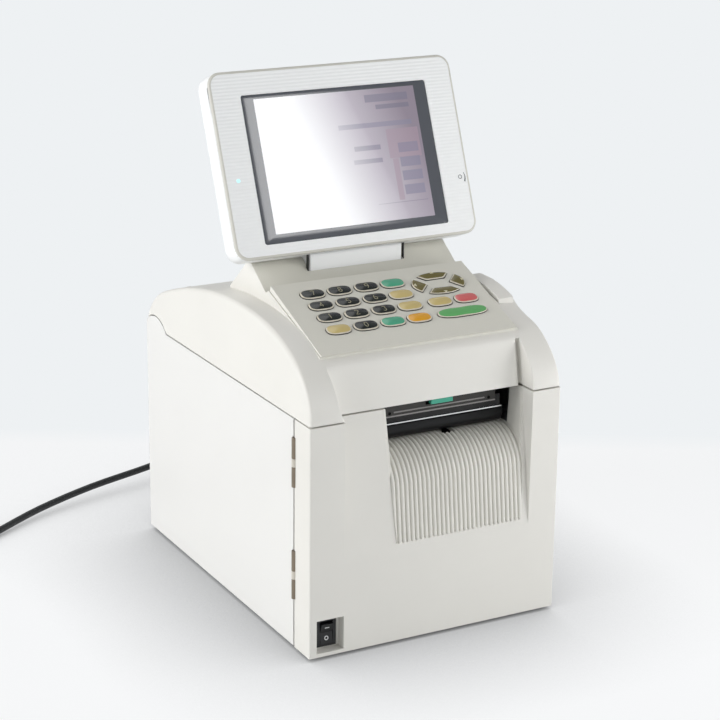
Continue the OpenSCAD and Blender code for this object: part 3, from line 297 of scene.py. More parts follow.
# Powder-coated sheet steel: faint orange peel of 2 mm
door_paint = finish("powder_coat_ivory", "#E2E1DE", 0.4, grain=2.2, bump=0.012, drift=0.015)
# The same from a finer tool: smoother and brighter; the front face of the head has ribs 2.5 mm apart
head_white, face_white = [finish("moulded_abs_" + name, "#F5F6F6", 0.4, grain=1.0, bump=0.008, drift=0.015)
                          for name in ("white", "ribbed")]
add_ribs(face_white, (0, math.sin(LEAN), math.cos(LEAN)), pitch=2.5, height=0.12)
# The rim round the head's face: the same plastic in a darker tone, painted shade of its rolled edge
head_rim_painted_shade = finish("moulded_abs_rim_painted_shade", "#CFCDC5", 0.45, grain=1.0, bump=0.01)
# Printed back of a clear acrylic window: slate ink under gloss
slate = finish("printed_acrylic_slate", "#4A4D55", 0.14, bump=0, drift=0.02, coat_weight=1.0, coat_roughness=0.13)
# Moulded ABS, semi-gloss tool: broad soft highlights
chute_abs = finish("moulded_abs_chute", "#E2E0D9", 0.38, bump=0.008)
black_abs = finish("moulded_abs_black", "#17181A", 0.38, grain=0.8)
# Moulded and ground rubber, extruded PVC: dull black; grinding leaves fine streaks across the roller
rubber_black = finish("soft_rubber_black", "#202123", 0.6, bump=0.03)
platen_rubber = finish("ground_rubber_black", "#0C0D0F", 0.34, stretch=(0.05, 1, 1), specular_ior_level=0.25)
cord_pvc = finish("cord_jacket_pvc", "#26292B", 0.42, grain=1.2)
# Plated sheet steel: a grain drawn out by rolling, bright or black; the ground edge shines in streaks
zinc = finish("zinc_plated_steel", "#A9ABAC", 0.32, 1.0, grain=1.2, bump=0.01, stretch=(1, 1, 0.08), drift=0.08)
dark_sheet = finish("black_zinc_sheet", "#3B3A38", 0.42, 0.55, grain=1.0, bump=0.01)
bead_steel = finish("rolled_steel_bead", "#8A8786", 0.35, 0.6, grain=1.0, bump=0.01)
bright_steel = finish("ground_steel_edge", "#D5D7D8", 0.22, 1.0, grain=0.8, bump=0.008, stretch=(0.06, 1, 1))
# Bronzed hinge steel, and the same rubbed pale: a tone that drifts over 12 mm
bronze = finish("bronzed_steel_hinge", "#8A7F70", 0.36, 0.85, stretch=(1, 1, 0.15), drift=0.15, drift_size=12)
knuckle_steel = finish("rubbed_hinge_steel", "#CFC9BE", 0.34, 0.35, bump=0.01, drift=0.08, drift_size=12)
# Inside: turned brass, matt nylon, coated paper with a faint web grain, solder mask that drifts with its tracks
brass = finish("machined_brass", "#C9A45A", 0.28, 1.0, grain=0.8, bump=0.01)
nylon = finish("moulded_nylon", "#DCDACB", 0.4, bump=0.015)
paper = finish("thermal_paper", "#EDEDE8", 0.6, grain=0.35, bump=0.03, stretch=(0.05, 1, 1))
board_green = finish("solder_mask", "#1F5B36", 0.3, grain=2.0, drift=0.1, drift_size=6)
# Glossy coloured ABS, then flat printed inks, and an even black that paints the shade where a gap is dark
teal_abs = finish("moulded_abs_teal", "#3FA58B", 0.3, bump=0.01)
white_ink = finish("screen_ink_white", "#D9DADA", 0.5, bump=0)
grey_ink = finish("screen_ink_grey", "#55585C", 0.5, bump=0)
slot_painted_shade = finish("slot_shadow_black", "#141414", 0.6, bump=0)

# ---------------------------------------------------------------- camera and cord

camera = into_scene("camera", bpy.data.cameras.new("camera"))
camera.data.lens, camera.data.sensor_width = 106.4, 36.0
camera.data.clip_start, camera.data.clip_end = 0.05, 60
az, el, roll = math.radians(-28.60), math.radians(17.70), math.radians(0.63)
back = Vector((math.sin(az) * math.cos(el), -math.cos(az) * math.cos(el), math.sin(el)))
right = Vector((math.cos(az), math.sin(az), 0))
up = back.cross(right)
turned = math.cos(roll) * right + math.sin(roll) * up
upright = -math.sin(roll) * right + math.cos(roll) * up
seat = row((-711.19, -1189.43, 644.39))
camera.matrix_world = Matrix(((turned.x, upright.x, back.x, seat[0]), (turned.y, upright.y, back.y, seat[1]),
                              (turned.z, upright.z, back.z, seat[2]), (0, 0, 0, 1)))
bpy.context.scene.camera = camera

# The cord is laid in millimetres of the row frame. It leaves the moulded relief, RELIEF long, at OUT_Y, reaches
# the coil about COIL at the angle COIL_IN, lies LIFT off the floor, and enters the plug at PLUG_Z.
RELIEF = 24.0
OUT_Y = 139 + 19 + RELIEF
COIL_R = 30.0
COIL_OUT = COIL_R + 1.5 * CORD_D
COIL_IN = math.radians(210)
COIL = np.array([-246 + COIL_OUT * math.cos(COIL_IN - math.pi / 2), 160 + COIL_OUT * math.sin(COIL_IN - math.pi / 2)])
LIFT = CORD_D / 2 + 0.1
PLUG_Z = 1.95 * CORD_D - CORD_D / 2
PINS_Y = COIL[1] + 44.2 + RELIEF


def smooth_path(knots, per):
    """Catmull-Rom line: half of (2b + (c-a)t + (2a-5b+4c-d)t^2 + (3b-a-3c+d)t^3) between each pair of knots."""
    k = np.asarray(knots, float)
    k = np.concatenate([k[:1], k, k[-1:]])
    t = (np.arange(per) / per)[:, None]
    out = [0.5 * (2 * b + (c - a) * t + (2 * a - 5 * b + 4 * c - d) * t ** 2 + (3 * b - a - 3 * c + d) * t ** 3)
           for a, b, c, d in zip(k, k[1:], k[2:], k[3:])]
    return np.concatenate(out + [k[-1:]])


def coil_turns():
    """Turns of spare cord: clockwise from the way in, four side by side on the floor from outside in, then three
    on top of them from inside out, each a cord's width on; the radius moves over the last 0.45 of a turn."""
    first, steps = COIL_IN + math.pi / 2, 20
    rings = [(COIL_R + CORD_D * k, LIFT) for k in (1.5, 0.5, -0.5, -1.5)]
    rings += [(COIL_R + CORD_D * k, LIFT + 0.87 * CORD_D) for k in (-1, 0, 1)]
    r, z = np.array(rings).T
    last = len(rings) - 1
    end = last + (first - math.pi) % (2 * math.pi) / (2 * math.pi)
    u = np.arange(0, int(end * steps) + 1) / steps
    u = np.append(u[:-1], end) if end - u[-1] < 0.5 / steps else np.append(u, end)
    k = np.minimum(np.floor(u).astype(int), last)
    nxt = np.minimum(k + 1, last)
    f = eased_step((u - k - 0.55) / 0.45)
    angle = first - 2 * np.pi * u
    rr, zz = r[k] * (1 - f) + r[nxt] * f, z[k] * (1 - f) + z[nxt] * f
    return np.column_stack([COIL[0] + rr * np.cos(angle), COIL[1] + rr * np.sin(angle), zz])


open_run = [(50.8, OUT_Y - 2, 43), (50.8, OUT_Y + 18, 40), (29, 229, 31), (-18, 244, 18.5), (-62, 233, 14),
            (-118, 220, 10.5), (-170, 202, 6.5), (-215, 176.5, 4.2)]
turns = coil_turns()
plug_run = [(turns[-1][0], COIL[1] + y, z) for y, z in ((9, turns[-1][2] + 0.2), (18, PLUG_Z - 0.2), (27, PLUG_Z))]
run = smooth_path(np.concatenate([open_run, turns[:3:2]]), 4)[:-5]
cord_line = np.concatenate([run, turns, plug_run]) / 1000
line = bpy.data.curves.new("mains_cord", "CURVE")
line.dimensions, line.bevel_depth, line.bevel_resolution, line.use_fill_caps = "3D", CORD_D / 2000, 4, True
spline = line.splines.new("POLY")
spline.points.add(len(cord_line) - 1)
spline.points.foreach_set("co", np.column_stack([cord_line, np.ones(len(cord_line))]).ravel())
spline.use_smooth = True
line.materials.append(cord_pvc)
cord = into_scene("mains_cord", line)
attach(cord, "frame")
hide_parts("cord_run", "cord_coil")
plug = rounded_copy("cord_plug", "frame", [cord_pvc, zinc], width=1.6, limit=30,
                    zone=lambda c, n: 1 if c.y + SHIFT[1] > PINS_Y else 0,
                    weight=lambda x, y, z: 1.0 if y + SHIFT[1] < PINS_Y else 0.15)
rounded_copy("cord_connector", "frame", [black_abs], width=1.2)
# Moulded cord relief: radius falls from 6.2 to 4.1 mm with six shallow grooves
share = np.linspace(0, 1, 25)
radius = 6.2 - 2.1 * share - 0.45 * (np.cos(share * 2 * np.pi * 6) < -0.2)
angle = np.linspace(0, 2 * np.pi, 24, endpoint=False)
relief = [np.column_stack([50 + r * np.cos(angle), np.full(24, DEPTH + 19.6 + RELIEF * s), 40 + r * np.sin(angle)])
          for s, r in zip(share, radius)]
make("cord_relief", [capped(row(relief))], "frame", [rubber_black], sharp=50)

# ---------------------------------------------------------------- top cover

DRAFT = 0.03
# Crest: the end of its front curve with the powers that shape it, and the start of its rear corner
FRONT_Y, POWER_Y, POWER_Z, REAR_Y = 118, 2.35, 1.95, 239.9


def draft(z):
    """Share of the width left at height z: the cover's sides lean in as they rise."""
    return 1 - DRAFT * np.clip((z - SEAM) / RISE, 0, 1)


def front_angle(y):
    """Station angle at which the front curve of the crest has come back by y."""
    return np.arccos(np.clip(1 - np.asarray(y, float) / FRONT_Y, 0, 1) ** (POWER_Y / 2))


def crest(angles):
    """Crest of the cover seen from the side. Front: y = 118 (1 - cos^(2/2.35)), z = seam + rise sin^(2/1.95).
    Rear: z falls with the square of y - 118, and the corner turns down as sqrt(1 - sin^4)."""
    y0 = FRONT_Y * (1 - np.cos(angles) ** (2 / POWER_Y))
    z0 = SEAM + RISE * np.sin(angles) ** (2 / POWER_Z)
    y1 = np.linspace(FRONT_Y, REAR_Y, 14)[1:]
    fall = lambda y: RISE - 0.0014334 * (y - FRONT_Y) ** 2
    a = np.radians(np.linspace(0, 86.5, 15)[1:])
    y2 = REAR_Y + 38.1 * np.sin(a)
    z2 = SEAM + fall(y2) * np.sqrt(1 - np.sin(a) ** 4)
    return np.concatenate([y0, y1, y2]), np.concatenate([z0, SEAM + fall(y1), z2])


def crest_height(y):
    """Height of the crest over y."""
    cy, cz = crest(np.radians(np.linspace(0.9, 90, 120)))
    return np.interp(y, cy, cz)


def panel_y(z):
    """Sunken centre panel: distance back at height z above the seam."""
    return 14 + (z - SEAM) * 6.7 / 34.6


def scoop(x, y):
    """Depth of the finger scoops before and behind the release lever: 3.0 and 2.2, fading towards the middle."""
    before = 3.0 * eased_step((y - 24) / 22) * (1 - eased_step((y - 51) / 13))
    behind = 2.2 * eased_step((y - 98) / 10) * (1 - eased_step((y - 116) / 34))
    return (before + behind) * eased_step((x - 74) / 22)


def cover_skin():
    """Outer skin of the cover on a grid: stations along the crest, columns from the left lower edge over
    the top to the right lower edge. Side walls stand straight, the edge turns over with a radius of 3, and
    between the panel's edges the skin drops back to the panel plane."""
    angles = np.concatenate([np.radians(np.linspace(0.9, 90, 40)), front_angle([31.5, 56.6, 98.5, 105.4])])
    y, z = crest(np.unique(angles))
    t = np.stack([np.gradient(y), np.gradient(z)])
    t /= np.linalg.norm(t, axis=0)
    ny, nz = -t[1], t[0]
    r = 3.0
    keep_y, keep_z = y - ny * r, np.maximum(z - nz * r, COVER_LOW)
    hump = PIVOT[1] + np.sqrt(np.maximum(HUMP ** 2 - (keep_y - PIVOT[0]) ** 2, 0))
    low = np.minimum(np.where(np.abs(keep_y - PIVOT[0]) < 19.8, hump, COVER_LOW), keep_z)
    cols, xs = [], []

    def column(x, yy, zz):
        """Next column of the grid: one point at each station, x a number or one for each."""
        cols.append(np.stack([np.broadcast_to(x, y.shape), yy, zz], -1))
        xs.append(float(np.mean(x)))

    def side(s):
        """Side wall and turned edge at the left (s = -1) or right (s = 1), from the lower edge up."""
        sunk = scoop(s * HALF, y)
        for k in (0, 0.5, 1):
            column(s * HALF, keep_y - ny * sunk * k, low + (keep_z - nz * sunk - low) * k)
        for phi in np.radians([15, 30, 45, 60, 75, 90]):
            c = r * (1 - math.sin(phi)) + sunk
            column(s * (HALF - r + r * math.cos(phi)), y - ny * c, z - nz * c)

    side(-1)
    for x in (-90, -86, -82):
        column(x, y, z)
    # Left edge of the panel, which flares by 4.5 above the seam; deep below 0 is short of the panel's plane
    drop = np.maximum(panel_y(z) - y, 0)
    edge = -73 - 4.5 * (1 - np.exp(-(z - SEAM) / 7))
    lean = draft(z)
    for dx, deep, part in ((-1.2, 0, 0), (-0.5, 0.12, 0.05), (-0.1, 0.45, 0.15), (0, 1.1, 0.3), (0.1, -0.9, 0.8),
                           (0.35, -0.25, 0.95), (0.9, 0, 1)):
        deep = drop + deep if part > 0.5 else deep
        back_by = (np.minimum if part < 0.5 else np.maximum)(deep, drop * part)
        column((edge + dx) / lean, y + np.clip(back_by, 0, drop), z)
    for x in (-60, -40, -20, 0, 20, 40, 60, 70):
        column(x, y + drop, z)
    # Right edge of the panel: a gap 4.5 deep beside it, then its rounded lip
    gap = np.where(drop > 0.3, np.clip(drop / 3, 0, 1), 0)
    for x, deep in ((72.2, 0.0), (72.9, 0.25), (73.3, 1.0), (73.5, 4.5), (76.7, 4.5)):
        column(x / lean, y + drop + deep * gap, z)
    for dx, deep, part in ((0, 1.1, 0.3), (0.1, 0.45, 0.15), (0.5, 0.12, 0.05), (1.2, 0, 0)):
        column((76.9 + dx) / lean, y + np.minimum(deep, drop * part), z)
    for x in (80.5, 83.6):
        column(x, y - ny * scoop(x, y), z - nz * scoop(x, y))
    n = len(cols)
    side(1)
    cols[n:], xs[n:] = cols[n:][::-1], xs[n:][::-1]
    grid = np.stack(cols, 1)
    grid[..., 0] *= draft(grid[..., 2])
    xs = np.array(xs)
    mid_x, mid_y = (xs[1:] + xs[:-1]) / 2, (y[1:] + y[:-1]) / 2

    def opening(y0, y1, x0, x1):
        """Faces whose middles lie in this rectangle, seen from above."""
        return ((mid_y > y0) & (mid_y < y1))[:, None] & ((mid_x > x0) & (mid_x < x1))[None]

    lever, tray, arm = opening(56.6, 105.4, 83.6, 97.1), opening(31.5, 98.5, -72, 72), opening(123, 140, -40, 40)
    faces = grid_faces(*grid.shape[:2]).reshape(grid.shape[0] - 1, grid.shape[1] - 1, 4)
    return row(grid), faces[~(lever | tray | arm)]


make("cover_shell", [cover_skin()], "cover", [cover_ivory], "top_cover", thick=2.6, sharp=42)

# Hinge lugs: a round of 8 about the pivot and an arm 8 wide that reaches 59 up from it
lug = [(PIVOT[0] + 8 * math.cos(a), PIVOT[1] + 8 * math.sin(a)) for a in np.radians(np.arange(28, -209, -14))]
c, s = math.cos(math.radians(118)), math.sin(math.radians(118))
lug += [(PIVOT[0] + 59 * c + w * s, PIVOT[1] + 59 * s - w * c) for w in (-4, 4)]
make("cover_lugs", [prism(lug, x, x + 4) for x in (-84, 80)], "cover", [cover_ivory], bevel=0.4)
wall_y = np.linspace(54.6, 107, 12)
wall = [*zip(wall_y, crest_height(wall_y) - 2.4), (107, 207.5), (54.6, 207.5)]
make("lever_wall", [prism(wall, 78.4, 81.2)], "cover", [cover_ivory])


def leaned(co):
    """The lever follows the cover's leaning sides, and its top swells by 1.8 sin^0.7 from end to end."""
    out = co.copy()
    out[:, 0] *= draft(co[:, 2])
    part = np.clip((co[:, 1] - 57) / 47.8, 0, 1)
    out[:, 2] += 1.8 * np.sin(np.pi * part) ** 0.7 * (co[:, 2] > crest_height(co[:, 1]) - 4)
    return out


rounded_copy("release_lever", "release", [cover_ivory], width=1.0, shape=leaned, limit=32)

# ---------------------------------------------------------------- body


def front_weight(x, y, z):
    """Upright front corners turn with a radius of 3.4, the panel's and slot's edges with a small one."""
    return 1.0 if abs(x) > 99.5 and y < 0.5 and z > 4 else 0.15


rounded_copy("front_cover", "frame", [ivory], width=3.4, weight=front_weight, limit=20, segments=3)
rounded_copy("shell_panel", "frame", [ivory], width=1.6, segments=3,
             weight=lambda x, y, z: 1.0 if x > 99 and y > 277 else 0.25)
rounded_copy("side_door", "door", [door_paint], width=0.6)

# Chute: knee of its section, radius of the arc above it and its first and last turn in degrees, then its ribs
KNEE_Y, KNEE_Z, ARC_R, ARC_FROM, ARC_TO = 4.8, SEAM - 56.5, 29, 7, 92
RIB_PITCH, RIB_FROM, RIB_DEEP = 3.532, -33.93, 2.3


def slot_sides(z):
    """Left and right side of the ticket opening at height z: each leans in by 5.2 down to the chute's foot."""
    lean_in = 5.2 * np.clip((BODY_TOP - z) / 95.3, 0, 1)
    return -37 + lean_in, 76 - lean_in


def chute_slab(x0, x1, end):
    """Ribbed skin of the chute between x0 and x1, up to turn end: the section carried across and cut off by
    the opening's sides. It runs straight from its foot to the knee, round the arc, then back by 0.65 a degree.
    From a rib's crest to a groove's middle it sinks by 2.3 u^3, u from 0 to 1."""
    x = np.linspace(x0, x1, int((x1 - x0) / RIB_PITCH * 14) + 2)
    low = np.append(SEAM - 95.7, np.linspace(SEAM - 95.2, KNEE_Z, 8))
    turn = np.linspace(ARC_FROM, end, 26)[1:]
    a, a0 = np.radians(np.minimum(turn, ARC_TO)), math.radians(ARC_FROM)
    y_arc = KNEE_Y + ARC_R * math.cos(a0) - ARC_R * np.cos(a) + np.maximum(turn - ARC_TO, 0) * 0.65
    y = np.concatenate([(low - low[0]) / (low[-1] - low[0]) * KNEE_Y, y_arc])
    z = np.concatenate([low, KNEE_Z - ARC_R * math.sin(a0) + ARC_R * np.sin(a)])
    t = np.stack([np.gradient(y), np.gradient(z)])
    t /= np.linalg.norm(t, axis=0)
    left, right = slot_sides(z)
    across = np.clip(x[None], left[:, None] + 0.1, right[:, None] - 0.1)
    u = 2 * np.abs((across - RIB_FROM) / RIB_PITCH % 1 - 0.5)
    sink = RIB_DEEP * u ** 3 * np.clip(np.arange(len(y)), 0, 1)[:, None]
    skin = lambda d: row(np.stack([across, y[:, None] + t[1][:, None] * d, z[:, None] - t[0][:, None] * d], -1))
    return between(skin(sink), skin(np.full_like(sink, 2.5)))


def cheek(side, y1, thick):
    """Wall beside the ticket: it leans with the opening's side and ends at y1."""
    o = np.array([(8.3, 120.5), (14, BODY_TOP), (y1, BODY_TOP), (y1, 126.5 + (y1 - 27) * 0.4), (14, 116.5)])
    x = slot_sides(o[:, 1])[0 if side < 0 else 1] - side * 0.1
    return capped([row(np.column_stack([x - side * d, o])) for d in (0, thick)])


make("ribbed_chute", [chute_slab(-37, 20.5, 104), chute_slab(20.5, 31, 82), chute_slab(31, 76, 104),
                      cheek(-1, 27, 2), cheek(1, 28, 0.9)], "frame", [chute_abs], "issue_chute", sharp=50)
# Painted shade: the tear bar is ground steel at its front edge and the slot's painted shadow black behind it
rounded_copy("tear_bar", body_of["tear_bar"], [slot_painted_shade, bright_steel], width=0.1,
             zone=lambda c, n: 1 if c.y < 25.4 else 0)
# Two rolled beads across the print head's bracket: oval in section, 1.0 deep and 1.2 high
bead = np.linspace(0, 2 * np.pi, 12, endpoint=False)
make("bracket_beads", [prism(np.stack([24.05 + 0.5 * np.cos(bead), z + 0.6 * np.sin(bead)], -1), x0, x1)
                       for z, x0, x1 in ((161.2, -22.5, 51), (158.4, -33.5, 60))],
     body_of["print_head"], [bead_steel])
# Painted shade: a dark sheet behind the slot that hides the bright paper roll, where only shade is seen
make("roll_painted_shade_sheet", [prism([(64, 139), (65, 139), (65, 167.5), (64, 167.5)], 60.5, 75.4)], "frame", [dark_sheet])

# ---------------------------------------------------------------- console and keys


def round_poly(points, radii, n=6):
    """Closed outline with each corner turned by a quadratic curve that starts and ends radius from it."""
    p = np.asarray(points, float)
    before, after = np.roll(p, 1, 0) - p, np.roll(p, -1, 0) - p
    la, lb = np.linalg.norm(before, axis=1), np.linalg.norm(after, axis=1)
    r = np.minimum(radii, 0.45 * np.minimum(la, lb))
    a, b = p + before * (r / la)[:, None], p + after * (r / lb)[:, None]
    t = np.linspace(0, 1, n)[None, :, None]
    return ((1 - t) ** 2 * a[:, None] + 2 * t * (1 - t) * p[:, None] + t ** 2 * b[:, None]).reshape(-1, 2)


# Painted light: faces that look sideways (|n.x| > 0.6) take the paler cover ivory, a lit copy beside the console grey
rounded_copy("console_body", "cover", [console_grey, cover_ivory], width=2.2, limit=18, segments=3,
             zone=lambda c, n: 1 if abs(n.x) > 0.6 else 0,
             weight=lambda x, y, z: 1.0 if z > crest_height(y) + 2 and y > 100 else 0.25)
# Partly painted light: the neck takes the head's brighter white, to make up for the shade that the head casts on it
rounded_copy("display_arm", "cover", [head_white], width=1.6, limit=30, segments=3)
# Painted shade: dark slabs in the gaps beside the neck, where there is only shade
neck_gap = [(122.0, 239.5), (122.0, 253), (124.5, 253), (124.5, 240.5)]
make("neck_gap_painted_shade", [prism(neck_gap, x, x + 0.8) for x in (-39.6, 38.8)], "cover", [slot_painted_shade])


def cap_weight(x, y, z):
    """The cap's rim turns with a radius of 0.9, its key holes with 0.27."""
    return 1.0 if abs(x) > 77.5 or y < 27 or y > 103 else 0.3


# Painted light: the cap's outer side faces take the paler cover ivory, a lit copy beside the console grey
rounded_copy("keypad_cap", "cover", [console_grey, cover_ivory], width=0.9, weight=cap_weight, limit=30,
             zone=lambda c, n: 1 if abs(n.x) > 0.6 and abs(c.x) > 76 else 0)

# Width and height of a key, its stand above the cap, the rise of its crown, and the ink printed on the crown
KEY_W, KEY_H, RISE_KEY, DOME = 19.2, 10.7, 0.8, 0.8
INK_TOP, INK_THICK = RISE_KEY + DOME + 0.03, 0.12
ARROWS_AT = (46, 60.9)


def oblong_outline(w, h, n=56):
    """Key seen from above: x = w/2 sgn cos |cos|^0.7, d = h/2 sgn sin |sin|^0.8."""
    a = np.linspace(0, 2 * np.pi, n, endpoint=False)
    c, s = np.cos(a), np.sin(a)
    return np.stack([w / 2 * np.sign(c) * np.abs(c) ** 0.7, h / 2 * np.sign(s) * np.abs(s) ** 0.8], -1)


def arrow_outline(k):
    """One of four pieces of an ellipse 43 by 25.4, cut by lines at 45 degrees; k is up, down, left, right."""
    a, b = 21.5, 12.7
    if k < 2:
        x = np.linspace(7.6, 22, 4000)
        hit = x[np.argmin(np.abs((x / a) ** 2 + ((x - 2.5) / b) ** 2 - 1))]
        u = np.linspace(hit, -hit, 26)
        rim = np.stack([u, b * np.sqrt(1 - (u / a) ** 2)], -1)
        pts, corners = np.concatenate([[(-7.6, 5.1), (7.6, 5.1)], rim]), [0, 1, 2, -1]
    else:
        x = np.linspace(9, 21.4, 4000)
        hit = x[np.argmin(np.abs((x / a) ** 2 + ((x - 9) / b) ** 2 - 1))]
        ang = math.atan2((hit - 9) / b, hit / a)
        t = np.linspace(-ang, ang, 22)
        pts, corners = np.concatenate([[(9, 0)], np.stack([a * np.cos(t), b * np.sin(t)], -1)]), [0, 1, -1]
    radii = np.full(len(pts), 0.01)
    radii[corners] = 1.6
    if k in (1, 2):
        pts, radii = (pts * ((1, -1) if k == 1 else (-1, 1)))[::-1], radii[::-1]
    return round_poly(pts, radii, 4)


def key_parts(outline, at):
    """Key: foot flange and straight side in a dark that paints the shade of the gap round the key, rolled clear rim
    painted pale for the light that it gathers, then a crowned top; finish 0 is the rim, 1 the label and 3 the foot
    and side. Each loop is (out from the outline, height above the cap)."""
    middle = outline.mean(0)
    arms = outline - middle
    unit = arms / np.linalg.norm(arms, axis=1)[:, None]
    put = lambda l, h: row(on_pad(at[0] + l[:, 0], at[1] + l[:, 1], h))
    side = [put(middle + arms + unit * out, h) for out, h in (
        (0.8, -6.2), (0.8, -4.6), (0, -4.6), (0, -0.4), (0, RISE_KEY - 0.5), (-0.12, RISE_KEY - 0.18),
        (-0.4, RISE_KEY + 0.05), (-0.75, RISE_KEY + 0.22), (-1.05, RISE_KEY + 0.3))]
    top = [put(middle + (arms - unit * 1.05) * rho, RISE_KEY + 0.3 + (DOME - 0.3) * (1 - rho ** 2.2))
           for rho in (1, 0.96, 0.9, 0.8, 0.66, 0.48, 0.28, 0.1)]
    return [(*loft([middle_of(side[0])] + side[:6], False), 3), (*loft(side[5:], False), 0),
            (*loft(top + [middle_of(top[-1])], False), 1)]


def ribbon(path, width, lift=INK_TOP, at=(0, 0), place=on_pad, thick=INK_THICK):
    """Flat stroke along a path of (x, d) points, a thin slab whose edges stand width/2 each side of it."""
    p = np.asarray(path, float)
    t = np.gradient(p, axis=0)
    t /= np.linalg.norm(t, axis=1)[:, None]
    n = np.stack([-t[:, 1], t[:, 0]], -1) * np.reshape(width, (-1, 1)) / 2
    skin = lambda h: np.stack([place(at[0] + e[:, 0], at[1] + e[:, 1], h) for e in (p + n, p - n)], 1)
    return between(row(skin(lift)), row(skin(lift - thick)))


def arc(cx, cy, rx, ry, a0, a1, n=14):
    """Stroke round an ellipse about (cx, cy), from angle a0 to a1 in degrees."""
    a = np.radians(np.linspace(a0, a1, n))
    return np.stack([cx + rx * np.cos(a), cy + ry * np.sin(a)], -1)


def bent(*points):
    """Stroke through corner points, each leg in four steps."""
    p = np.array(points, float)
    t = np.linspace(0, 1, 5)[:-1, None]
    return np.concatenate([a + (b - a) * t for a, b in zip(p, p[1:])] + [p[-1:]])


# Figures of the number keys, drawn as strokes in a box 2 wide and 4 high
figures = {
    0: [arc(0, 0, 1.1, 2, 0, 360, 30)],
    1: [bent((-0.6, 1.3), (0.2, 2), (0.2, -2))],
    2: [np.concatenate([arc(0, 1, 1.05, 1, 160, -35), bent((0.75, 0.2), (-1.1, -2), (1.15, -2))])],
    3: [np.concatenate([arc(0, 1.05, 1, 0.95, 150, -80), arc(0, -0.95, 1.1, 1.05, 80, -150)])],
    4: [bent((0.5, -2), (0.5, 2), (-1.15, -0.8), (1.2, -0.8))],
    5: [np.concatenate([bent((1, 2), (-0.85, 2), (-1, 0.3)), arc(0, -0.75, 1.1, 1.25, 125, -145)])],
    6: [arc(0, -0.85, 1.1, 1.15, 0, 360, 24), arc(0.35, -0.6, 1.45, 2.6, 100, 178)],
    7: [bent((-1.1, 2), (1.1, 2), (-0.3, -2))],
    8: [arc(0, 1.02, 0.9, 0.95, 0, 360, 22), arc(0, -1, 1.1, 1.02, 0, 360, 24)],
    9: [arc(0, 0.85, 1.1, 1.15, 0, 360, 24), arc(-0.35, 0.6, 1.45, 2.6, -80, -2)],
}

# Keys: a dark foot and side, painted as the shade in the gap round each key, a pale printed arrow, and a glossy clear
# cap whose edge is painted pale for the warm light that it gathers
key_side_shade = finish("key_foot_dark", "#2A2822", 0.5, bump=0)
arrow_ink = finish("arrow_ink_pale", "#C9C3A4", 0.4, bump=0)
key_rim_painted_light = finish("key_edge_clear", "#D3CCBA", 0.16, bump=0, drift=0.02, coat_weight=0.5, coat_roughness=0.06)
# Printed labels under the clear caps: colour, roughness, drift of lightness, weight of the gloss
label_looks = {"dark": ("#171E1C", 0.16, 0.06, 0.3), "sand": ("#C9B577", 0.18, 0.04, 0.6),
               "teal": ("#4BA583", 0.16, 0.04, 0.6), "orange": ("#E0A01E", 0.18, 0.03, 0.6),
               "red": ("#D06464", 0.18, 0.03, 0.6), "green": ("#62AD66", 0.18, 0.03, 0.6),
               "olive": ("#6A6132", 0.16, 0.06, 0.6)}
labels = {tone: finish("key_label_" + tone, colour, roughness, grain=2, bump=0.004, drift=drift, coat_weight=coat,
                       coat_roughness=0.05) for tone, (colour, roughness, drift, coat) in label_looks.items()}
figure_ink = finish("figure_ink", "#8F8A72", 0.4, bump=0)

columns, rows = (-52.6, -31.2, -9.6, 11.6), (67.8, 53.9, 40.0, 25.6)
keys = [("key_%d" % d, columns[i % 3], rows[i // 3]) for i, d in enumerate((7, 8, 9, 4, 5, 6, 1, 2, 3))]
keys += [("key_0", columns[1], rows[3]), ("key_teal_1", columns[3], rows[0]), ("key_sand_1", columns[3], rows[1]),
         ("key_sand_2", columns[3], rows[2]), ("key_sand_3", 36.2, rows[2]), ("key_red", 57.8, rows[2]),
         ("key_sand_4", columns[0], rows[3]), ("key_teal_2", columns[2], rows[3]),
         ("key_orange", columns[3], rows[3]), ("key_green", 46.9, rows[3])]
for name, x, d in keys:
    tone = name.split("_")[1]
    parts = key_parts(oblong_outline(KEY_W * (2.12 if tone == "green" else 1), KEY_H), (x, d))
    if tone.isdigit():
        parts += [(*ribbon(s * (1.15, 1.2), 0.6, at=(x, d)), 2) for s in figures[int(tone)]]
        tone = "dark"
    make(name + "_moulded", parts, body_of[name], [key_rim_painted_light, labels[tone], figure_ink, key_side_shade], name,
         sharp=60)
# Arrow keys, each with a small triangle that points away from the middle of the four
triangle_faces = [(0, 1, 2), (5, 4, 3), (0, 3, 4, 1), (1, 4, 5, 2), (2, 5, 3, 0)]
arrows = {"key_up": (0, 1.5), "key_down": (0, -1.5), "key_left": (-1.6, 0), "key_right": (1.6, 0)}
for k, (name, point) in enumerate(arrows.items()):
    outline, point = arrow_outline(k), np.array(point)
    mid = outline.mean(0) * ((0, 1) if k < 2 else (1, 0))
    across = point[::-1] * 1.1
    head = np.array([mid + point, mid - point * 0.5 + across, mid - point * 0.5 - across]) + ARROWS_AT
    triangle = np.concatenate([row(on_pad(head[:, 0], head[:, 1], h)) for h in (INK_TOP, INK_TOP - INK_THICK)])
    make(name + "_moulded", key_parts(outline, ARROWS_AT) + [(triangle, triangle_faces, 2)], body_of[name],
         [key_rim_painted_light, labels["olive"], arrow_ink, key_side_shade], name, sharp=60)

# ---------------------------------------------------------------- display head

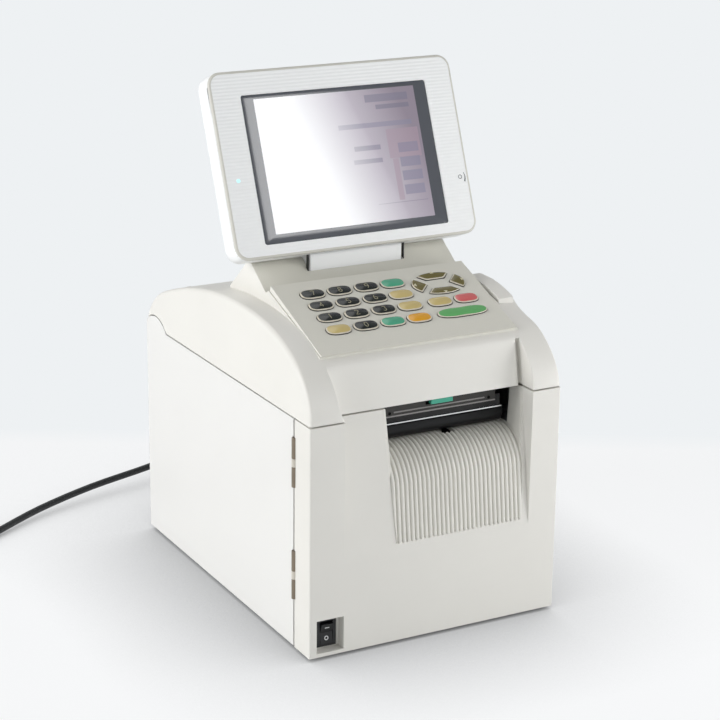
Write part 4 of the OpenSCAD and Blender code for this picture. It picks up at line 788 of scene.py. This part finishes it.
# Front face of the head: its distance from the tilt axis, half width, lower and upper edge
FACE_Y, HEAD_HALF, HEAD_Z0, HEAD_Z1 = -16.5, 98.5, -17.2, 117.55
rounded_copy("display_housing", "display", [head_white], width=1.2, limit=24, weight=lambda x, y, z: 0.6)
facing = Vector((0, -math.cos(LEAN), math.sin(LEAN)))
rounded_copy("display_bezel", "display", [face_white, head_white], width=0.8, limit=24, weight=lambda x, y, z: 0.5,
             zone=lambda c, n: 0 if n.dot(facing) > 0.9 else 1)


def head_loop(hw, z0, z1, r, y):
    """Rounded oblong on the head's plane y."""
    l = round_loop(hw, (z1 - z0) / 2, r)
    return row(on_head(l[:, 0], y, l[:, 1] + (z0 + z1) / 2))


# Rim rolled over the front face's edge, in a darker tone that paints the edge's shade: (in from the outline, back
# from the face)
rim = [(0.0, 3.2), (0.0, 1.3), (0.25, 0.6), (0.8, 0.12), (1.4, -0.08), (1.9, -0.08), (2.1, 0.3), (2.1, 3.2)]
make("display_rim", [loft([head_loop(HEAD_HALF - o, HEAD_Z0 + o, HEAD_Z1 - o, 10 - o, FACE_Y + d) for o, d in rim])],
     "display", [head_rim_painted_shade], sharp=50)


def on_face(x, d, h):
    """Front face of the head: x across, d up and h out from the face."""
    return on_head(x, FACE_Y - h, d)


# Brightness mark: a small ring beside a curved stroke that widens downwards
down = np.linspace(0, 1, 12)
stroke = np.stack([94.2 + 0.8 * np.sin(np.pi * down), 28.2 - 6.9 * down], -1)
make("brightness_mark", [ribbon(path, width, 0.05, place=on_face, thick=0.1) for path, width in (
    (arc(90.9, 25.1, 1.35, 1.35, 0, 360, 24), 0.5), (stroke, 0.35 + 0.75 * down))],
     "display", [grey_ink], sharp=60)


def on_rocker(y0, z0, tilt):
    """Plane of one half of the rocker about (y0, z0), leaning forwards by tilt degrees as it rises."""
    c, s = math.cos(math.radians(tilt)), math.sin(math.radians(tilt))
    return lambda x, d, h: np.stack(np.broadcast_arrays(-83.65 + x, y0 - d * s - h * c, z0 + d * c - h * s), -1)


make("switch_marks", [ribbon(path, width, 0.06, place=half, thick=0.1) for path, width, half in (
    (bent((-1.7, 0.6), (1.7, 0.6)), 0.8, on_rocker(5.12, 18.24, 22.6)),
    (arc(0, -0.2, 1.3, 1.3, 0, 360, 24), 0.6, on_rocker(6.03, 10.8, -8.6)))],
     body_of["switch_rocker"], [white_ink], sharp=60)

# The screen's picture, with a painted reflection: white glare painted at the left that fades into lavender and grey,
# over faint boxes and bars that come up as the painted glare fades
screen, tree, bsdf = new_surface("lcd_picture_painted_glare")
place = add(tree, "ShaderNodeTexCoord")
origin = tuple(row((0, AXIS_Y, AXIS_Z)).tolist())
local = add(tree, "ShaderNodeMapping", {"vector_type": "TEXTURE", "Location": origin, "Rotation": (-LEAN, 0, 0)},
            {"Vector": place.outputs["Object"]})
split = add(tree, "ShaderNodeSeparateXYZ", {}, {"Vector": local.outputs["Vector"]})
across, upward = split.outputs["X"], split.outputs["Z"]


def boxed(x0, x1, z0, z1, soft=0.4):
    """1 inside a rectangle on the screen: the product of a ramp over soft mm at each of its four sides."""
    spans = []
    for socket, low, high in ((across, x0, x1), (upward, z0, z1)):
        rise, fall = [add(tree, "ShaderNodeMapRange", {"From Min": a / 1000, "From Max": b / 1000}, {"Value": socket})
                      for a, b in ((low, low + soft), (high, high - soft))]
        spans.append(add(tree, "ShaderNodeMath", {"operation": "MULTIPLY"},
                         {0: rise.outputs["Result"], 1: fall.outputs["Result"]}).outputs[0])
    return add(tree, "ShaderNodeMath", {"operation": "MULTIPLY"}, dict(enumerate(spans))).outputs[0]


# Ramps over x + 0.38 z, each from and to in mm: painted white glare to lavender, lavender to grey, and the marks'
# coming up out of the painted glare
raised = add(tree, "ShaderNodeMath", {"operation": "MULTIPLY", 1: 0.38}, {0: upward})
slant = add(tree, "ShaderNodeMath", {"operation": "ADD"}, {0: across, 1: raised.outputs[0]})
lavender, grey, faint = [
    add(tree, "ShaderNodeMapRange", {"From Min": low / 1000, "From Max": high / 1000}, {"Value": slant.outputs[0]})
    for low, high in ((-4, 46), (42, 84), (6, 46))]
glare = add(tree, "ShaderNodeMix", {"data_type": "RGBA", 6: linear("#F6F6F8"), 7: linear("#B4ACB8")},
            {0: lavender.outputs["Result"]})
colour = add(tree, "ShaderNodeMix", {"data_type": "RGBA", 7: linear("#857A88")},
             {0: grey.outputs["Result"], 6: glare.outputs[2]})
most = add(tree, "ShaderNodeMath", {"operation": "MULTIPLY", 1: 0.55}, {0: faint.outputs["Result"]})
# Marks on the screen: left, right, lower and upper edge, and colour
marks = [(23, 59, 86.5, 92.5, "#6C6A80"), (31, 59, 81, 84.7, "#68667C"), (-2, 59, 68, 72, "#7D7B93"),
         (8, 30, 51.5, 55.5, "#6F6D84"), (6, 30, 42, 45.7, "#6F6D84"), (20, 62, 11.3, 12.1, "#6A687E"),
         (36, 63, 44, 66, "#A08A98"), (38, 43, 13, 44, "#A08A98")]
marks += [(44, 61, z, z + 7.6, "#77758F") for z in (47.8, 37.2, 27, 16.6)]
for x0, x1, z0, z1, tone in marks:
    shown = add(tree, "ShaderNodeMath", {"operation": "MULTIPLY"}, {0: boxed(x0, x1, z0, z1), 1: most.outputs[0]})
    colour = add(tree, "ShaderNodeMix", {"data_type": "RGBA", 7: linear(tone)},
                 {0: shown.outputs[0], 6: colour.outputs[2]})
# The screen glows in the same colour, its painted glare included
for socket in ("Base Color", "Emission Color"):
    tree.links.new(colour.outputs[2], bsdf.inputs[socket])
for key, value in {"Roughness": 0.22, "Coat Weight": 0.5, "Coat Roughness": 0.13, "Emission Strength": 0.15}.items():
    bsdf.inputs[key].default_value = value

# Window: its side, its dark border on the front, and the screen inside the border; heights from the tilt axis
GLASS_Z0, GLASS_Z1, GLASS_Y = -7.8, 99.7, -15.3
sides = [head_loop(77.2, GLASS_Z0 - 2, GLASS_Z1 + 2, 3.5, y) for y in (-13.75, -15.2)]
front = [head_loop(77.0, GLASS_Z0 - 1.8, GLASS_Z1 + 1.8, 3.3, GLASS_Y), head_loop(65.1, -1.0, 96.4, 0.6, GLASS_Y)]
make("display_glass", [loft(sides + front, False), (*loft([front[1], middle_of(front[1])], False), 1),
                       loft([middle_of(sides[0]), sides[0]], False)],
     "display", [slate, screen], ("display_window", "lcd_panel"), sharp=40)

# ---------------------------------------------------------------- pieces kept from the frame, edges eased

dressed = {
    "base_pan": (zinc, 0.3), "post_leaves": (bronze, 0.25), "door_leaves": (knuckle_steel, 0.25),
    "chassis": (zinc, 0.3), "keypad_board": (board_green, 0.2), "switch_bezel": (black_abs, 0.5),
    "switch_rocker": (black_abs, 0.4), "print_head": (dark_sheet, 0.3), "head_lever": (teal_abs, 0.5),
    "platen_roller": (platen_rubber, 0.4), "platen_gear": (nylon, 0.15), "feed_motor": (dark_sheet, 0.8),
    "motor_pinion": (brass, 0.1), "paper_roll": (paper, 0.3), "power_supply": (black_abs, 0.8),
    "main_board": (board_green, 0.2), "power_inlet": (black_abs, 0.5), "rubber_feet": (rubber_black, 0.6)}
for node, (surface, width) in dressed.items():
    rounded_copy(node, body_of[node], [surface], width=width)
led, led_tree, glow = new_surface("led_lens_lit")
warm = add(led_tree, "ShaderNodeTexNoise", {"Scale": 800.0})
tint = add(led_tree, "ShaderNodeMix", {"data_type": "RGBA", 6: linear("#BFEFF2"), 7: linear("#9FE3EA")},
           {0: warm.outputs["Fac"]})
for socket in ("Base Color", "Emission Color"):
    led_tree.links.new(tint.outputs[2], glow.inputs[socket])
glow.inputs["Emission Strength"].default_value = 0.7
nodes["status_led"].material_slots[0].material = led

# ---------------------------------------------------------------- stage and light

# White paper sweep. As seen it is lit paper with a share SEEN_EVEN of even white, which darkens by SHADE where the
# object closes it in over SHADE_REACH metres. Past the sweep's bend, BEND_AWAY metres from the camera, it is even
# white alone. The light that it returns to the object is plain paper.
SEEN_EVEN, SHADE, SHADE_REACH = 0.86, 0.95, 0.14
BEND_AWAY, BEND_SOFT = 1.7955, 0.02
NEAR_WHITE, FAR_WHITE = linear("#F9FAFB"), linear("#EEF1F3")
# Strength of the room's light at the walls and overhead
WALLS, OVERHEAD = 0.71, 0.16

stage_white, paper_tree, paper_lit = new_surface("stage_paper_white")
paper_lit.inputs["Base Color"].default_value = linear("#F3F4F5")
paper_lit.inputs["Roughness"].default_value = 0.9
closed_in = add(paper_tree, "ShaderNodeAmbientOcclusion",
                {"samples": 6, "Distance": SHADE_REACH, "Color": NEAR_WHITE})
eased = add(paper_tree, "ShaderNodeMix", {"data_type": "RGBA", 0: SHADE, 6: NEAR_WHITE},
            {7: closed_in.outputs["Color"]})
even = add(paper_tree, "ShaderNodeEmission", {}, {"Color": eased.outputs[2]})
far = add(paper_tree, "ShaderNodeEmission", {"Color": FAR_WHITE})
near_seen = add(paper_tree, "ShaderNodeMixShader", {0: SEEN_EVEN}, {1: paper_lit.outputs[0], 2: even.outputs[0]})
bend = Vector((-math.sin(az), math.cos(az), 0))
spot = add(paper_tree, "ShaderNodeTexCoord")
along = add(paper_tree, "ShaderNodeVectorMath", {"operation": "DOT_PRODUCT", 1: bend}, {0: spot.outputs["Object"]})
sweep = bend.dot(Vector(seat)) + BEND_AWAY
past = add(paper_tree, "ShaderNodeMapRange", {"From Min": sweep - BEND_SOFT, "From Max": sweep + BEND_SOFT},
           {"Value": along.outputs["Value"]})
seen_paper = add(paper_tree, "ShaderNodeMixShader", {},
                 {0: past.outputs["Result"], 1: near_seen.outputs[0], 2: far.outputs[0]})
# 1 for camera, glossy and transmission rays, 0 for the light that reaches the object
ray = add(paper_tree, "ShaderNodeLightPath")
seen = ray.outputs["Is Camera Ray"]
for kind in ("Is Glossy Ray", "Is Transmission Ray"):
    seen = add(paper_tree, "ShaderNodeMath", {"operation": "MAXIMUM"}, {0: seen, 1: ray.outputs[kind]}).outputs[0]
whole = add(paper_tree, "ShaderNodeMixShader", {}, {0: seen, 1: paper_lit.outputs[0], 2: seen_paper.outputs[0]})
paper_tree.links.new(whole.outputs[0], paper_tree.nodes["Material Output"].inputs["Surface"])
floor_mesh = bpy.data.meshes.new("stage_floor")
floor_mesh.from_pydata([(-9, -6, 0), (9, -6, 0), (9, 12, 0), (-9, 12, 0)], [], [(0, 1, 2, 3)])
floor_mesh.materials.append(stage_white)
floor = into_scene("stage_floor", floor_mesh)

world = bpy.data.worlds.new("studio")
bpy.context.scene.world = world
world.use_nodes = True
sky = world.node_tree
room = sky.nodes["Background"]
room.inputs["Color"].default_value = linear("#F4F6F7")
height = add(sky, "ShaderNodeSeparateXYZ", {}, {0: add(sky, "ShaderNodeTexCoord").outputs["Generated"]})
strength = add(sky, "ShaderNodeMapRange", {"From Min": 0.0, "From Max": 1.0, "To Min": WALLS, "To Max": OVERHEAD},
               {"Value": height.outputs["Z"]})
sky.links.new(strength.outputs["Result"], room.inputs["Strength"])
backdrop = add(sky, "ShaderNodeBackground", {"Color": FAR_WHITE, "Strength": 1.0})
sight = add(sky, "ShaderNodeLightPath").outputs["Is Camera Ray"]
both = add(sky, "ShaderNodeMixShader", {}, {0: sight, 1: room.outputs[0], 2: backdrop.outputs[0]})
sky.links.new(both.outputs[0], sky.nodes["World Output"].inputs["Surface"])

# Square area lamps: where each stands and looks (m), its side (m) and its power (W)
lamps = {"left_softbox": ((-2.3, 0.2, 1.05), (0, 0, 0.15), 1.4, 41),
         "front_softbox": ((0.37, -1.055, 0.895), (0, 0, 0.3), 0.48, 2.9),
         "right_fill": ((0.55, -0.45, 0.2), (0, -0.1, 0.12), 0.3, 1.5),
         "back_softbox": ((0.2, 1.1, 2.1), (0, 0, 0.15), 1.6, 8)}
for name, (at, to, size, power) in lamps.items():
    data = bpy.data.lights.new(name, "AREA")
    data.shape, data.size, data.energy = "SQUARE", size, power
    look = (Vector(to) - Vector(at)).to_track_quat("-Z", "Y")
    into_scene(name, data).matrix_world = Matrix.Translation(at) @ look.to_matrix().to_4x4()

bpy.context.scene.view_settings.view_transform = "Standard"
